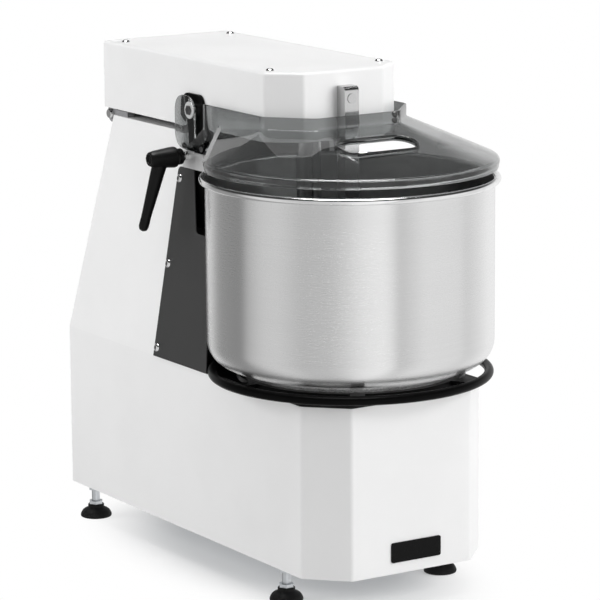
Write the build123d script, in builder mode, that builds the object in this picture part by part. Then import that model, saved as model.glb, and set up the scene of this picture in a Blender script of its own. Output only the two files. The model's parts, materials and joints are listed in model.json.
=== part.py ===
from build123d import *

import os
from math import atan, cos, pi, radians, sin, sqrt, tan

# Spiral dough mixer with a tilting head, a turning bowl and a hinged clear lid.
# Millimetres. +Z is up and the operator stands at -Y. The origin is on the floor, under the
# centre of the machine's bounding box. "Reach" is measured back (+Y) from the bowl's axis and
# "height" up from the bottom edge of the housing.

# ---------------------------------------------------------------- driving dimensions
# Housing: a square-backed box with two chamfered front corners, and a leaning column on its rear
base_width = 295.0
base_height = 240.0
base_front = 151.5  # front face, ahead of the bowl's axis
base_rear = 553.0  # rear face, behind the bowl's axis
base_chamfer = 50.0
column_height = 326.0
column_front = 270.0
column_front_lean = 14.0
column_rear_lean = 77.0
sheet = 2.0
bend_radius = 8.0

# Feet
foot_height = 50.0
foot_side = 129.0  # half the spacing across the machine
foot_front = -33.0
foot_rear = 509.0
pad_radius = 23.5
pad_height = 14.0
pad_edge = 3.0  # height of the pad's widest rim
pad_taper = 1.0
pad_neck = 6.0
pad_neck_wall = 6.0  # rubber round the stem
stem_radius = 6.0
stem_rise = 22.0  # stem and weld nut above the bottom plate
nut_across = 19.0
nut_height = 8.0

# Head
head_width = 215.2
head_front = 13.7
head_rear = 503.4
head_height = 97.7
head_gap = 9.6  # open gap between the column's top and the head
head_chamfer_side = 35.7
head_chamfer_front = 42.6
head_plate = 5.0
cover_inset = 7.0
cover_seam = 0.8
cover_lip = 20.0
cover_edge_radius = 4.0
cover_screw_radius = 6.0
cover_screw_ahead = 48.0  # front screws, behind the head's front
cover_screw_behind = 41.0  # rear screws, ahead of the head's back
cover_screw_side = 18.0  # screws, inside the head's sides

# Tilting hinge
hinge_reach = 482.0
hinge_drop = 8.6  # hinge axis below the head's underside
pin_radius = 7.0
pin_overhang = 2.5  # pin end beyond the head's side
pin_chamfer = 1.0
knuckle_radius = 11.0
hinge_groove_gap = 1.0  # round the tube and pin, in the column's edge
ear_radius = 13.0
ear_thickness = 12.0
ear_inset = 4.0  # outer face of an ear, inside the head's side
ear_length = 46.0
ear_room = 1.5  # round an ear, in the head's base plate
buffer_radius = 10.0
buffer_side = 70.0
buffer_reach = 300.0

# Bowl, turntable and spindle
bowl_radius = 200.0
bowl_height = 264.0
bowl_wall = 1.5
bowl_corner = 36.0
rim_radius = 208.5
rim_roll = 4.7
foot_ring_radius = 150.0
foot_ring_width = 30.0
foot_ring_height = 10.0
drive_pin_radius = 5.0
drive_pin_count = 3
deck_thickness = 3.0
deck_inset = 0.8
deck_clearance = 1.5
spindle_room = 8.0  # round the spindle, in the deck
turntable_radius = 160.0
turntable_thickness = 6.0
turntable_hub_radius = 38.0
turntable_hub_height = 5.5
hoop_radius = 199.0  # outermost radius of the hoop
hoop_tube = 6.5
hoop_rise = 1.0  # hoop's centre above the turntable's middle
spoke_count = 6
spoke_width = 20.0
spindle_radius = 15.0
spindle_collar = 4.0
spindle_housing_radius = 50.0
spindle_flange_radius = 78.0
spindle_flange = 8.0
spindle_housing_depth = 110.0
spindle_bearing_radius = 35.0
spindle_bearing_height = 16.0
bearing_seat_wall = 6.0  # seat's opening round the spindle
bearing_seat = 4.0

# Power train
layshaft_reach = 330.0
layshaft_radius = 12.5
pinion_teeth = 12
bowl_sprocket_teeth = 80
bowl_chain_pitch = 9.525
spiral_teeth = 24
input_teeth = 24
head_chain_pitch = 12.7
chain_width = 6.0
chain_depth = 5.0
sprocket_width = 5.0
tooth_tip = 0.25  # tooth shape, in shares of the chain's pitch
tooth_gap_centre = 0.2
tooth_gap_radius = 0.36
bowl_hub_wall = 12.0
bowl_hub_height = 14.0
pinion_hub_wall = 3.0
pinion_hub_height = 8.0
head_hub_wall = 8.0
head_hub_height = 5.0
shaft_past_wheel = 12.0  # shaft's end above the chain's underside
bowl_chain_height = 62.0
head_chain_rise = 70.0  # above the head's underside
gearbox_side = 130.0
gearbox_height = 118.0
gearbox_floor = 98.0
gearbox_leg = 7.0
gearbox_leg_side = 55.0
gearbox_corner = 10.0
gearbox_edge = 5.0
gearbox_boss = 5.0
motor_radius = 68.0
motor_length = 146.0
motor_core_radius = 58.5
motor_fin_reach = 66.5
motor_fin_width = 2.2
motor_fin_count = 24
motor_cowl_length = 47.5
motor_cowl_edge = 6.0
motor_flange_radius = 60.0
motor_flange = 8.0
layshaft_housing_radius = 34.0
layshaft_flange_width = 10.0
layshaft_flange = 6.0
layshaft_bearing_radius = 26.0
layshaft_bearing_height = 12.0
clutch_radius = 20.0
clutch_flange = 5.0
clutch_jaw = 6.0
clutch_play = 1.4
clutch_drop = 1.0  # lower disc below the column's top
clutch_room = 4.0  # round the clutch, in the openings it passes through
input_housing_height = 34.0

# Kneading tool
spiral_reach = 105.0
spiral_shaft_radius = 17.5
spiral_housing_radius = 44.0
spiral_housing_height = 58.0
spiral_flange_width = 14.0
spiral_flange = 8.0
spiral_room = 4.0  # round the shaft, in the head's base plate
spiral_bearing_radius = 31.0
spiral_bearing_height = 14.0
spiral_end = 110.0  # shaft's lower end below the head's underside
spiral_rod = 9.0
spiral_sweep = 80.0  # outermost radius of the spiral
spiral_floor_gap = 8.0
spiral_steps = 9

# Breaker bar
breaker_width = 23.0
breaker_depth = 20.0
breaker_top = 76.4  # above the head's underside
breaker_floor_gap = 18.0
breaker_round = 7.0
breaker_screw_drop = 16.5
breaker_screw_radius = 7.0
breaker_screw_head = 1.2

# Clear lid
lid_radius = 207.0
lid_wall = 3.0
lid_skirt = 12.8
lid_skirt_draft = 2.0
lid_rim_gap = 11.0  # open slot between the bowl's rim and the lid
collar_gap = 8.5  # between the head's side and the collar's wall
collar_front_gap = 32.5  # between the head's front and the collar's inner face
collar_base = 22.4  # collar's fold, above the head's underside
collar_top = 39.1
collar_chamfer_side = 57.0
collar_chamfer_front = 50.5
lid_cut = 151.0  # reach of the lid's rear edge, at the collar
lid_ring_cut = 66.0  # and at the skirt
crease_azimuths = (2.0, 46.0, 50.0, 88.0)  # where the slope's creases meet the round edge
lid_pivot_reach = 229.0
lid_pivot_rise = 26.4
lid_pivot_radius = 5.0
pivot_head_radius = 7.0
pivot_head = 4.5
pivot_washer_radius = 9.5
pivot_washer = 2.0
pivot_spacer_radius = 10.0
pivot_nut_radius = 9.0
pivot_nut = 6.8
pivot_end = 14.0  # bolt's end, inside the head's side
lid_ear_front = 218.0
lid_ear_rear = 272.0
lid_ear_top = 46.0
lid_ear_bottom = -31.5
lid_ear_corner = 26.0
lid_wing_rear = 193.0  # rear edge of the lid's side, ahead of the ear
lid_notch_top = 4.7  # notch between the lid's side and the ear, from the head's underside
lid_notch_bottom = -14.4
lid_screw_radius = 4.0
ear_screw_rear = 247.0
ear_screw_front = 199.0
ear_screw_rise = 5.5  # above the ear's bottom edge
collar_screw_inset = 8.1  # from the corner of the collar's front
collar_screw_drop = 4.5
collar_screw_spacing = 8.1
feed_x = -15.0
feed_ahead = 91.0
feed_length = 128.0
feed_width = 54.0
feed_rim = 5.0

# Side guards
guard_sheet = 1.5
guard_top = 516.5
guard_rear = 292.4
guard_rear_lean = 26.9
guard_front = 143.4
guard_front_lean = -38.0
guard_screw_radius = 6.2
guard_screw_heights = (253.4, 376.4, 499.9)
guard_screw_setback = 7.8
notch_front = 150.0  # ahead of the guard's front edge
notch_rear = 205.5
notch_rear_top = 226.5
notch_bottom = 429.0
slot_corner = 8.0

# Head lock: bar on the head, strap and lever on the column
lock_bar_front = 206.0
lock_bar_rear = 229.0
lock_bar_bottom = 434.0
lock_bar_thickness = 4.0
lock_bar_gap = 0.4
lock_head_rear = 262.0
lock_head_bottom = 575.0
lock_head_top = 624.0
lock_neck_rear = 246.0
lock_neck_bottom = 545.0
lock_head_corner = 14.0
strap_thickness = 3.0
strap_front = 200.0
strap_rear = 255.5
strap_middle = 529.0
strap_height = 24.0
lock_plate_thickness = 8.0
lock_plate_setback = 4.0  # behind the strap's front end
lock_plate_rise = 6.0  # above the strap
lock_foot_thickness = 6.0
lock_foot_width = 32.0
stud_radius = 4.0
stud_nut_wall = 2.5
stud_nut = 5.0
stud_setback = 8.0  # stud's end, inside the lever's hub
lever_reach = 246.0
lever_height = 534.5
lever_hub_radius = 15.0
lever_hub_length = 53.0
lever_neck_radius = 11.5
lever_neck_share = 0.18  # of the hub's length
lever_end_radius = 9.5
lever_arm_inset = 20.0  # from the hub's outer end to the arm's line
lever_hub_gap = 9.0  # between the strap and the hub
lever_arm = 108.0
lever_arm_lean = 7.5  # degrees behind straight down
lever_arm_splay = 13.0  # degrees outward
lever_tip_radius = 7.2
lever_root_radius = 10.5

# Controls, cable gland and badge
control_width = 70.0
control_length = 110.0
control_height = 420.0
control_reach = 375.0
button_radius = 11.0
button_travel = 3.0
button_edge = 1.5
button_stand = 6.0
button_depth = 10.0
button_room = 1.0  # round a button, behind the control plate
control_box_depth = 42.0
button_collar = 4.0  # width of the raised collar round a button
button_collar_height = 3.0
button_spacing = 44.0
gland_radius = 11.0
gland_edge = 3.0
gland_nut = 5.0
cable_radius = 4.0
gland_reach = 20.0
gland_x = 95.0
gland_height = 40.0
rear_cover_width = 220.0
rear_cover_height = 150.0
rear_cover_bottom = 60.0
cover_sheet = 1.5
cover_overlap = 15.0  # cover's edge, beyond its opening
cover_screw_margin = 8.0
vent_count = 4
vent_pitch = 16.0
vent_length = 120.0
vent_width = 5.0
small_screw_radius = 4.0
screw_head = 0.55  # height of a screw's head, in shares of its radius
badge_width = 81.0
badge_height = 28.0
badge_depth = 2.0
badge_corner = 3.0
badge_x = 6.0
badge_bottom = 16.0

# Fits
running = 0.05  # radial clearance of a shaft in its bore
clearance = 0.3  # between parts that move past each other
hole_play = 0.3  # radial clearance of a screw in its hole
cut_past = 1.0  # how far a cut runs on past the face it opens

# ---------------------------------------------------------------- derived places
depth = rim_radius + base_rear + gland_reach
bowl_y = rim_radius - depth / 2
base_half = base_width / 2
head_half = head_width / 2
column_top = base_height + column_height
head_bottom = column_top + head_gap
head_top = head_bottom + head_height
hinge_height = head_bottom - hinge_drop
deck_top = base_height + deck_thickness
turntable_bottom = deck_top + deck_clearance + turntable_hub_height
turntable_top = turntable_bottom + turntable_thickness
bowl_bottom = turntable_top + foot_ring_height
rim_height = bowl_bottom + bowl_height
lid_bottom = rim_height + lid_rim_gap
lid_shoulder = lid_bottom + lid_skirt
collar_fold = head_bottom + collar_base
collar_edge = head_bottom + collar_top
lid_pivot_height = head_bottom + lid_pivot_rise
collar_half = head_half + collar_gap + lid_wall
collar_front = head_front - collar_front_gap - lid_wall
side_lean = atan((base_half - head_half) / column_height)
hoop_centre = hoop_radius - hoop_tube
rim_centre = rim_radius - rim_roll
breaker_shank = 0.55 * breaker_screw_radius


def back(reach):
    """Y of a place given by its reach behind the bowl's axis."""
    return bowl_y + reach


def up(height):
    """Z of a place given by its height above the housing's bottom edge."""
    return foot_height + height


def side_x(height):
    """Half width of the column at a height."""
    return base_half - (height - base_height) * tan(side_lean)


# ---------------------------------------------------------------- shared shapes
def chamfered_corners(half, front, rear, along_side, along_front):
    """Corners of a plan outline with a square back and two chamfered front corners."""
    return [
        (-half, back(rear)),
        (-half, back(front + along_side)),
        (-half + along_front, back(front)),
        (half - along_front, back(front)),
        (half, back(front + along_side)),
        (half, back(rear)),
    ]


def plan(corners, inset=0.0, radius=0.0):
    """Closed outline through the corners, moved inward and rounded at its corners."""
    with BuildSketch() as outline:
        with BuildLine():
            Polyline(*corners, close=True)
        make_face()
        if inset:
            offset(amount=-inset, kind=Kind.INTERSECTION, mode=Mode.REPLACE)
        if radius > 0:
            fillet(outline.vertices(), radius)
    return outline.sketch


def base_plan(inset=0.0, radius=0.0):
    """Outline of the housing's box."""
    corners = chamfered_corners(base_half, -base_front, base_rear, base_chamfer, base_chamfer)
    return plan(corners, inset, radius)


def head_plan(inset=0.0, radius=0.0):
    """Outline of the head."""
    corners = chamfered_corners(
        head_half, head_front, head_rear, head_chamfer_side, head_chamfer_front
    )
    return plan(corners, inset, radius)


def column_plan(height, inset=0.0, radius=0.0):
    """Outline of the column at a height."""
    share = (height - base_height) / column_height
    front = back(column_front - share * column_front_lean)
    rear = back(base_rear - share * column_rear_lean)
    half = side_x(height)
    corners = [(-half, rear), (-half, front), (half, front), (half, rear)]
    return plan(corners, inset, radius)


def ring(outer, inner, bottom, top, x=0.0, reach=0.0):
    """Upright ring, or a plain cylinder where the inner radius is 0."""
    with BuildPart() as made:
        with BuildSketch(Plane.XY.offset(up(bottom))):
            with Locations((x, back(reach))):
                Circle(outer)
                if inner > 0:
                    Circle(inner, mode=Mode.SUBTRACT)
        extrude(amount=top - bottom)
    return made.part


def bar_x(radius, reach, height, x0, x1, bore=0.0):
    """Round bar or tube along X."""
    with BuildPart() as made:
        with BuildSketch(Plane.YZ.offset(x0)):
            with Locations((back(reach), up(height))):
                Circle(radius)
                if bore > 0:
                    Circle(bore, mode=Mode.SUBTRACT)
        extrude(amount=x1 - x0)
    return made.part


def pitch_radius(teeth, pitch):
    """Pitch radius of a chain wheel."""
    return pitch / (2 * sin(pi / teeth))


def sprocket(teeth, pitch, bore, hub, hub_rise, bottom, reach=0.0):
    """Chain wheel with round-bottomed tooth gaps and a hub above it."""
    pitch_r = pitch_radius(teeth, pitch)
    tip = pitch_r + tooth_tip * pitch
    with BuildPart() as made:
        with BuildSketch(Plane.XY.offset(up(bottom))):
            with Locations((0, back(reach))):
                Circle(tip)
                with PolarLocations(pitch_r + tooth_gap_centre * pitch, teeth):
                    Circle(tooth_gap_radius * pitch, mode=Mode.SUBTRACT)
                Circle(bore, mode=Mode.SUBTRACT)
        extrude(amount=sprocket_width)
        with BuildSketch(Plane.XY.offset(up(bottom + sprocket_width))):
            with Locations((0, back(reach))):
                Circle(hub)
                Circle(bore, mode=Mode.SUBTRACT)
        extrude(amount=hub_rise)
    return made.part


def chain_loop(radius_a, reach_a, radius_b, reach_b, bottom):
    """Closed chain round two wheels on the machine's centre line."""
    gap = reach_b - reach_a
    lean = atan((radius_a - radius_b) / gap)

    def belt(extra):
        a = radius_a + extra
        b = radius_b + extra
        left_a = (-a * cos(lean), back(reach_a) + a * sin(lean))
        right_a = (a * cos(lean), back(reach_a) + a * sin(lean))
        left_b = (-b * cos(lean), back(reach_b) + b * sin(lean))
        right_b = (b * cos(lean), back(reach_b) + b * sin(lean))
        with BuildSketch() as shape:
            with BuildLine():
                Line(left_a, left_b)
                ThreePointArc(left_b, (0, back(reach_b) + b), right_b)
                Line(right_b, right_a)
                ThreePointArc(right_a, (0, back(reach_a) - a), left_a)
            make_face()
        return shape.sketch

    with BuildPart() as made:
        with BuildSketch(Plane.XY.offset(up(bottom))):
            add(belt(chain_depth))
            add(belt(0), mode=Mode.SUBTRACT)
        extrude(amount=chain_width)
    return made.part


def button_head(radius):
    """Domed screw head standing on the local XY plane, with a hexagon socket."""
    height = screw_head * radius
    with BuildPart() as made:
        with BuildSketch(Plane.XZ):
            with BuildLine():
                Line((0, 0), (radius, 0))
                Line((radius, 0), (radius, 0.25 * height))
                ThreePointArc(
                    (radius, 0.25 * height), (0.78 * radius, 0.74 * height), (0.45 * radius, height)
                )
                Line((0.45 * radius, height), (0, height))
                Line((0, height), (0, 0))
            make_face()
        revolve(axis=Axis.Z)
        with BuildSketch(Plane.XY.offset(height)):
            RegularPolygon(0.34 * radius, 6)
        extrude(amount=-0.55 * height, mode=Mode.SUBTRACT)
    return made.part


def mirrored_pair(piece):
    """A piece and its mirror image across the machine's centre plane, as separate solids."""
    return Compound(children=[piece, mirror(piece, about=Plane.YZ)])


# ---------------------------------------------------------------- housing
layshaft_opening = clutch_radius + clutch_room
control_plane = Plane(
    (side_x(control_height), back(control_reach), up(control_height)),
    x_dir=(0, 1, 0),
    z_dir=(cos(side_lean), 0, sin(side_lean)),
)
button_spots = ((-button_spacing / 2, 0), (button_spacing / 2, 0))
gland_thread = 0.7 * gland_radius
housing_hole = spindle_housing_radius + hole_play

with BuildPart() as body_shell:
    with BuildSketch(Plane.XY.offset(up(0))):
        add(base_plan(0, bend_radius))
    extrude(amount=base_height)
    with BuildSketch(Plane.XY.offset(up(base_height))):
        add(column_plan(base_height, 0, bend_radius))
    with BuildSketch(Plane.XY.offset(up(column_top))):
        add(column_plan(column_top, 0, bend_radius))
    loft(ruled=True)
    # hollow inside, open at the bottom
    with BuildSketch(Plane.XY.offset(up(0))):
        add(base_plan(sheet, bend_radius - sheet))
    extrude(amount=base_height - sheet, mode=Mode.SUBTRACT)
    with BuildSketch(Plane.XY.offset(up(base_height - 2 * sheet))):
        add(column_plan(base_height, sheet, bend_radius - sheet))
    extrude(amount=2 * sheet, mode=Mode.SUBTRACT)
    with BuildSketch(Plane.XY.offset(up(base_height))):
        add(column_plan(base_height, sheet, bend_radius - sheet))
    with BuildSketch(Plane.XY.offset(up(column_top - sheet))):
        add(column_plan(column_top - sheet, sheet, bend_radius - sheet))
    loft(ruled=True, mode=Mode.SUBTRACT)
    # groove for the hinge tube and pin in the column's upper rear edge
    for groove_radius, groove_half in (
        (knuckle_radius + hinge_groove_gap, head_half - ear_inset - ear_thickness),
        (pin_radius + hinge_groove_gap, head_width),
    ):
        add(
            bar_x(groove_radius, hinge_reach, hinge_height, -groove_half, groove_half),
            mode=Mode.SUBTRACT,
        )
    # openings for the spindle's housing, the layshaft, the service cover and the cable gland
    add(ring(housing_hole, 0, base_height - 2 * sheet, base_height + sheet), mode=Mode.SUBTRACT)
    add(
        ring(layshaft_opening, 0, column_top - 2 * sheet, column_top + sheet, 0, layshaft_reach),
        mode=Mode.SUBTRACT,
    )
    with BuildSketch(Plane.XZ.offset(-back(base_rear) - sheet)):
        with Locations((0, up(rear_cover_bottom + rear_cover_height / 2))):
            RectangleRounded(
                rear_cover_width - 2 * cover_overlap, rear_cover_height - 2 * cover_overlap, bend_radius
            )
        with Locations((gland_x, up(gland_height))):
            Circle(gland_thread + hole_play)
    extrude(amount=3 * sheet, mode=Mode.SUBTRACT)
    with BuildSketch(control_plane.offset(sheet)):
        with Locations(*button_spots):
            Circle(button_radius + button_room)
    extrude(amount=-3 * sheet, mode=Mode.SUBTRACT)

with BuildPart() as bottom_plate:
    with BuildSketch(Plane.XY.offset(up(0))):
        add(base_plan(sheet + clearance, bend_radius - sheet))
        for foot_reach in (foot_front, foot_rear):
            with Locations((foot_side, back(foot_reach)), (-foot_side, back(foot_reach))):
                Circle(stem_radius + hole_play, mode=Mode.SUBTRACT)
    extrude(amount=sheet)

with BuildPart() as deck_plate:
    with BuildSketch(Plane.XY.offset(up(base_height))):
        add(base_plan(deck_inset, bend_radius))
        with Locations((0, back(column_front - deck_inset + base_rear / 2))):
            Rectangle(2 * base_width, base_rear, mode=Mode.SUBTRACT)
        with Locations((0, back(0))):
            Circle(spindle_radius + spindle_room, mode=Mode.SUBTRACT)
    extrude(amount=deck_thickness)

cover_spots = [
    (sx * (rear_cover_width / 2 - cover_screw_margin), sy * (rear_cover_height / 2 - cover_screw_margin))
    for sx in (-1, 1)
    for sy in (-1, 1)
]
with BuildPart() as rear_cover:
    with BuildSketch(Plane.XZ.offset(-back(base_rear) - cover_sheet)):
        with Locations((0, up(rear_cover_bottom + rear_cover_height / 2))):
            RectangleRounded(rear_cover_width, rear_cover_height, bend_radius)
            with GridLocations(0, vent_pitch, 1, vent_count):
                SlotOverall(vent_length, vent_width, mode=Mode.SUBTRACT)
            with Locations(*cover_spots):
                Circle(0.5 * small_screw_radius + hole_play, mode=Mode.SUBTRACT)
    extrude(amount=cover_sheet)


# ---------------------------------------------------------------- side guards
def side_plane(height=base_height, reach=0.0):
    """Left face of the column: local X runs forward, local Y up the slope."""
    origin = (-side_x(height), back(reach), up(height))
    return Plane(origin, x_dir=(0, -1, 0), z_dir=(-cos(side_lean), 0, sin(side_lean)))


def on_slope(reach, height):
    """Local coordinates on the left face of the column."""
    return (-reach, (height - base_height) / cos(side_lean))


def guard_rear_at(height):
    """Reach of a guard's rear edge."""
    return guard_rear - (height - base_height) / column_height * guard_rear_lean


guard_bottom = base_height + clearance
guard_front_top = guard_front - guard_front_lean
screw_spots = [on_slope(guard_rear_at(h) - guard_screw_setback, h) for h in guard_screw_heights]

with BuildPart() as side_guard_left:
    with BuildSketch(side_plane()) as guard_face:
        with BuildLine():
            Polyline(
                on_slope(guard_rear, guard_bottom),
                on_slope(guard_rear_at(guard_top), guard_top),
                on_slope(guard_front_top, guard_top),
                on_slope(guard_front, guard_bottom),
                close=True,
            )
        make_face()
        fillet(guard_face.vertices().sort_by(Axis.Y)[2:], bend_radius)
        with BuildLine():
            Polyline(
                on_slope(notch_rear_top, guard_top),
                on_slope(notch_rear_top, guard_top + sheet),
                on_slope(notch_front, guard_top + sheet),
                on_slope(notch_front, notch_bottom),
                on_slope(notch_rear, notch_bottom),
                close=True,
            )
        make_face(mode=Mode.SUBTRACT)
        with Locations(*screw_spots):
            Circle(0.5 * guard_screw_radius + hole_play, mode=Mode.SUBTRACT)
    extrude(amount=guard_sheet)
    notch_edges = side_guard_left.edges().filter_by(
        lambda e: e.length < 2 * guard_sheet and abs(e.center().Z - up(notch_bottom)) < guard_sheet
    )
    fillet(notch_edges, slot_corner)

with BuildPart() as side_guard_right:
    add(mirror(side_guard_left.part, about=Plane.YZ))


def set_screws(plane, spots, radius, shank):
    """Button-head screws standing on a plane at local spots, with short shanks into it."""
    made = []
    for spot in spots:
        with BuildPart() as screw:
            add(button_head(radius))
            with BuildSketch():
                Circle(0.5 * radius)
            extrude(amount=-shank)
        made.append(plane * Pos(spot[0], spot[1], 0) * screw.part)
    return made


guard_face_plane = side_plane().offset(guard_sheet)
left_screws = set_screws(guard_face_plane, screw_spots, guard_screw_radius, guard_sheet)
right_screws = [mirror(screw, about=Plane.YZ) for screw in left_screws]
cover_face = Plane(
    (0, back(base_rear) + cover_sheet, up(rear_cover_bottom + rear_cover_height / 2)),
    x_dir=(-1, 0, 0),
    z_dir=(0, 1, 0),
)
rear_screws = set_screws(cover_face, cover_spots, small_screw_radius, cover_sheet)
housing_screws = Compound(children=left_screws + right_screws + rear_screws)


# ---------------------------------------------------------------- feet
def at_feet(piece):
    """Four copies of a piece made at the origin of the floor, one at each foot."""
    spots = [(sx * foot_side, back(r)) for sx in (-1, 1) for r in (foot_front, foot_rear)]
    return Compound(children=[Pos(x, y, 0) * piece for x, y in spots])


neck_top = pad_height + pad_neck
neck_radius = stem_radius + pad_neck_wall
with BuildPart() as foot_pad:
    with BuildSketch(Plane.XZ):
        with BuildLine():
            Line((0, 0), (pad_radius - pad_taper, 0))
            Line((pad_radius - pad_taper, 0), (pad_radius, pad_edge))
            neck_foot = (neck_radius + pad_taper, pad_height)
            TangentArc((pad_radius, pad_edge), neck_foot, tangent=(0, 1))
            Line(neck_foot, (neck_radius, neck_top))
            Line((neck_radius, neck_top), (0, neck_top))
            Line((0, neck_top), (0, 0))
        make_face()
    revolve(axis=Axis.Z)

with BuildPart() as foot_stem:
    with BuildSketch(Plane.XY.offset(neck_top)):
        RegularPolygon(nut_across / 2, 6, major_radius=False)
    extrude(amount=0.6 * nut_height)
    with BuildSketch(Plane.XY.offset(neck_top + 0.6 * nut_height)):
        Circle(stem_radius)
    extrude(amount=foot_height + stem_rise - neck_top - 0.6 * nut_height)

with BuildPart() as foot_nut:
    for nut_bottom in (foot_height - nut_height, foot_height + sheet):
        with BuildSketch(Plane.XY.offset(nut_bottom)):
            RegularPolygon(nut_across / 2, 6, major_radius=False)
            Circle(stem_radius + running, mode=Mode.SUBTRACT)
        extrude(amount=nut_height)

foot_pads = at_feet(foot_pad.part)
foot_stems = at_feet(foot_stem.part)
foot_nuts = Compound(children=[solid for group in at_feet(foot_nut.part) for solid in group.solids()])

# ---------------------------------------------------------------- tilting hinge and buffers
ear_outer = head_half - ear_inset
ear_inner = ear_outer - ear_thickness


def column_rear_at(height):
    """Reach of the column's rear face."""
    return base_rear - (height - base_height) / column_height * column_rear_lean


with BuildPart() as hinge_ear:
    with BuildSketch(Plane.YZ.offset(ear_inner)):
        with Locations((back(hinge_reach), up(hinge_height))):
            Circle(ear_radius)
        with BuildLine():
            Polyline(
                (back(hinge_reach), up(hinge_height) + ear_radius),
                (back(hinge_reach - ear_radius), up(head_bottom - sheet)),
                (back(hinge_reach - ear_length), up(head_bottom - sheet)),
                (back(hinge_reach - ear_length), up(column_top)),
                (back(hinge_reach), up(column_top)),
                close=True,
            )
        make_face()
        with BuildLine():
            Polyline(
                (back(hinge_reach - 2 * ear_length), up(column_top)),
                (back(column_rear_at(column_top)), up(column_top)),
                (back(column_rear_at(base_height)), up(base_height)),
                (back(hinge_reach - 2 * ear_length), up(base_height)),
                close=True,
            )
        make_face(mode=Mode.SUBTRACT)
        with Locations((back(hinge_reach), up(hinge_height))):
            Circle(pin_radius + running, mode=Mode.SUBTRACT)
    extrude(amount=ear_thickness)
hinge_ears = mirrored_pair(hinge_ear.part)

pin_end = head_half + pin_overhang
with BuildPart() as hinge_pin:
    add(bar_x(pin_radius, hinge_reach, hinge_height, -pin_end, pin_end))
    chamfer(hinge_pin.edges().filter_by(GeomType.CIRCLE), pin_chamfer)

with BuildPart() as head_buffer:
    add(
        ring(buffer_radius, 0, column_top, head_bottom - clearance, buffer_side, buffer_reach)
    )
head_buffers = mirrored_pair(head_buffer.part)

# ---------------------------------------------------------------- head
with BuildPart() as head_casing:
    with BuildSketch(Plane.XY.offset(up(head_bottom))):
        add(head_plan(0, bend_radius))
    extrude(amount=head_height)
    fillet(head_casing.faces().sort_by(Axis.Z)[-1].edges(), cover_edge_radius)
    with BuildSketch(Plane.XY.offset(up(head_bottom))):
        add(head_plan(sheet, bend_radius - sheet))
    extrude(amount=head_height - 2 * sheet, mode=Mode.SUBTRACT)
    with BuildSketch(Plane.XY.offset(up(head_top))):
        add(head_plan(cover_lip, 0))
    extrude(amount=-3 * sheet, mode=Mode.SUBTRACT)
    with BuildSketch(Plane.XY.offset(up(head_top))):
        add(head_plan(cover_inset - cover_seam, bend_radius - sheet))
    extrude(amount=-sheet, mode=Mode.SUBTRACT)
    # holes for the lid's pivots and the breaker bar's screw
    add(
        bar_x(lid_pivot_radius + hole_play, lid_pivot_reach, lid_pivot_height, -head_width, head_width),
        mode=Mode.SUBTRACT,
    )
    breaker_screw_height = head_bottom + breaker_top - breaker_screw_drop
    with BuildSketch(Plane.XZ.offset(-back(head_front) - 2 * sheet)):
        with Locations((0, up(breaker_screw_height))):
            Circle(breaker_shank + hole_play)
    extrude(amount=3 * sheet, mode=Mode.SUBTRACT)
    cover_screw_spots = [
        (sx * (head_half - cover_screw_side), back(reach))
        for sx in (-1, 1)
        for reach in (head_front + cover_screw_ahead, head_rear - cover_screw_behind)
    ]
    with BuildSketch(Plane.XY.offset(up(head_top))):
        with Locations(*cover_screw_spots):
            Circle(0.5 * cover_screw_radius + hole_play)
    extrude(amount=-3 * sheet, mode=Mode.SUBTRACT)

with BuildPart() as head_cover:
    with BuildSketch(Plane.XY.offset(up(head_top) - sheet)):
        add(head_plan(cover_inset, bend_radius - sheet - cover_seam))
        with Locations(*cover_screw_spots):
            Circle(0.5 * cover_screw_radius + hole_play, mode=Mode.SUBTRACT)
    extrude(amount=sheet)

cover_screws = Compound(
    children=set_screws(Plane.XY.offset(up(head_top)), cover_screw_spots, cover_screw_radius, 3 * sheet)
)

knuckle_half = ear_inner - clearance
with BuildPart() as head_hinge_tube:
    add(
        bar_x(
            knuckle_radius,
            hinge_reach,
            hinge_height,
            -knuckle_half,
            knuckle_half,
            bore=pin_radius + running,
        )
    )

plate_top = head_bottom + head_plate
with BuildPart() as head_base_plate:
    with BuildSketch(Plane.XY.offset(up(head_bottom))):
        add(head_plan(sheet + clearance, bend_radius - sheet))
        with Locations((0, back(layshaft_reach))):
            Circle(layshaft_opening, mode=Mode.SUBTRACT)
        with Locations((0, back(spiral_reach))):
            Circle(spiral_shaft_radius + spiral_room, mode=Mode.SUBTRACT)
        ear_middle = (ear_inner + ear_outer) / 2
        with Locations((ear_middle, back(hinge_reach)), (-ear_middle, back(hinge_reach))):
            Rectangle(
                ear_thickness + 2 * ear_room, 2 * (ear_radius + 2 * ear_room), mode=Mode.SUBTRACT
            )
    extrude(amount=head_plate)
    add(
        bar_x(knuckle_radius + running, hinge_reach, hinge_height, -knuckle_half, knuckle_half),
        mode=Mode.SUBTRACT,
    )

# ---------------------------------------------------------------- bowl drive
spindle_bottom = bowl_chain_height - chain_width
bowl_pitch = pitch_radius(bowl_sprocket_teeth, bowl_chain_pitch)
housing_bottom = base_height - spindle_housing_depth
with BuildPart() as bowl_bearing_housing:
    flange_top = base_height - sheet
    add(ring(spindle_flange_radius, spindle_bearing_radius, flange_top - spindle_flange, flange_top))
    add(ring(spindle_housing_radius, spindle_bearing_radius, housing_bottom, base_height))
    seat_opening = spindle_radius + bearing_seat_wall
    add(ring(spindle_housing_radius, seat_opening, housing_bottom - bearing_seat, housing_bottom))

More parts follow.
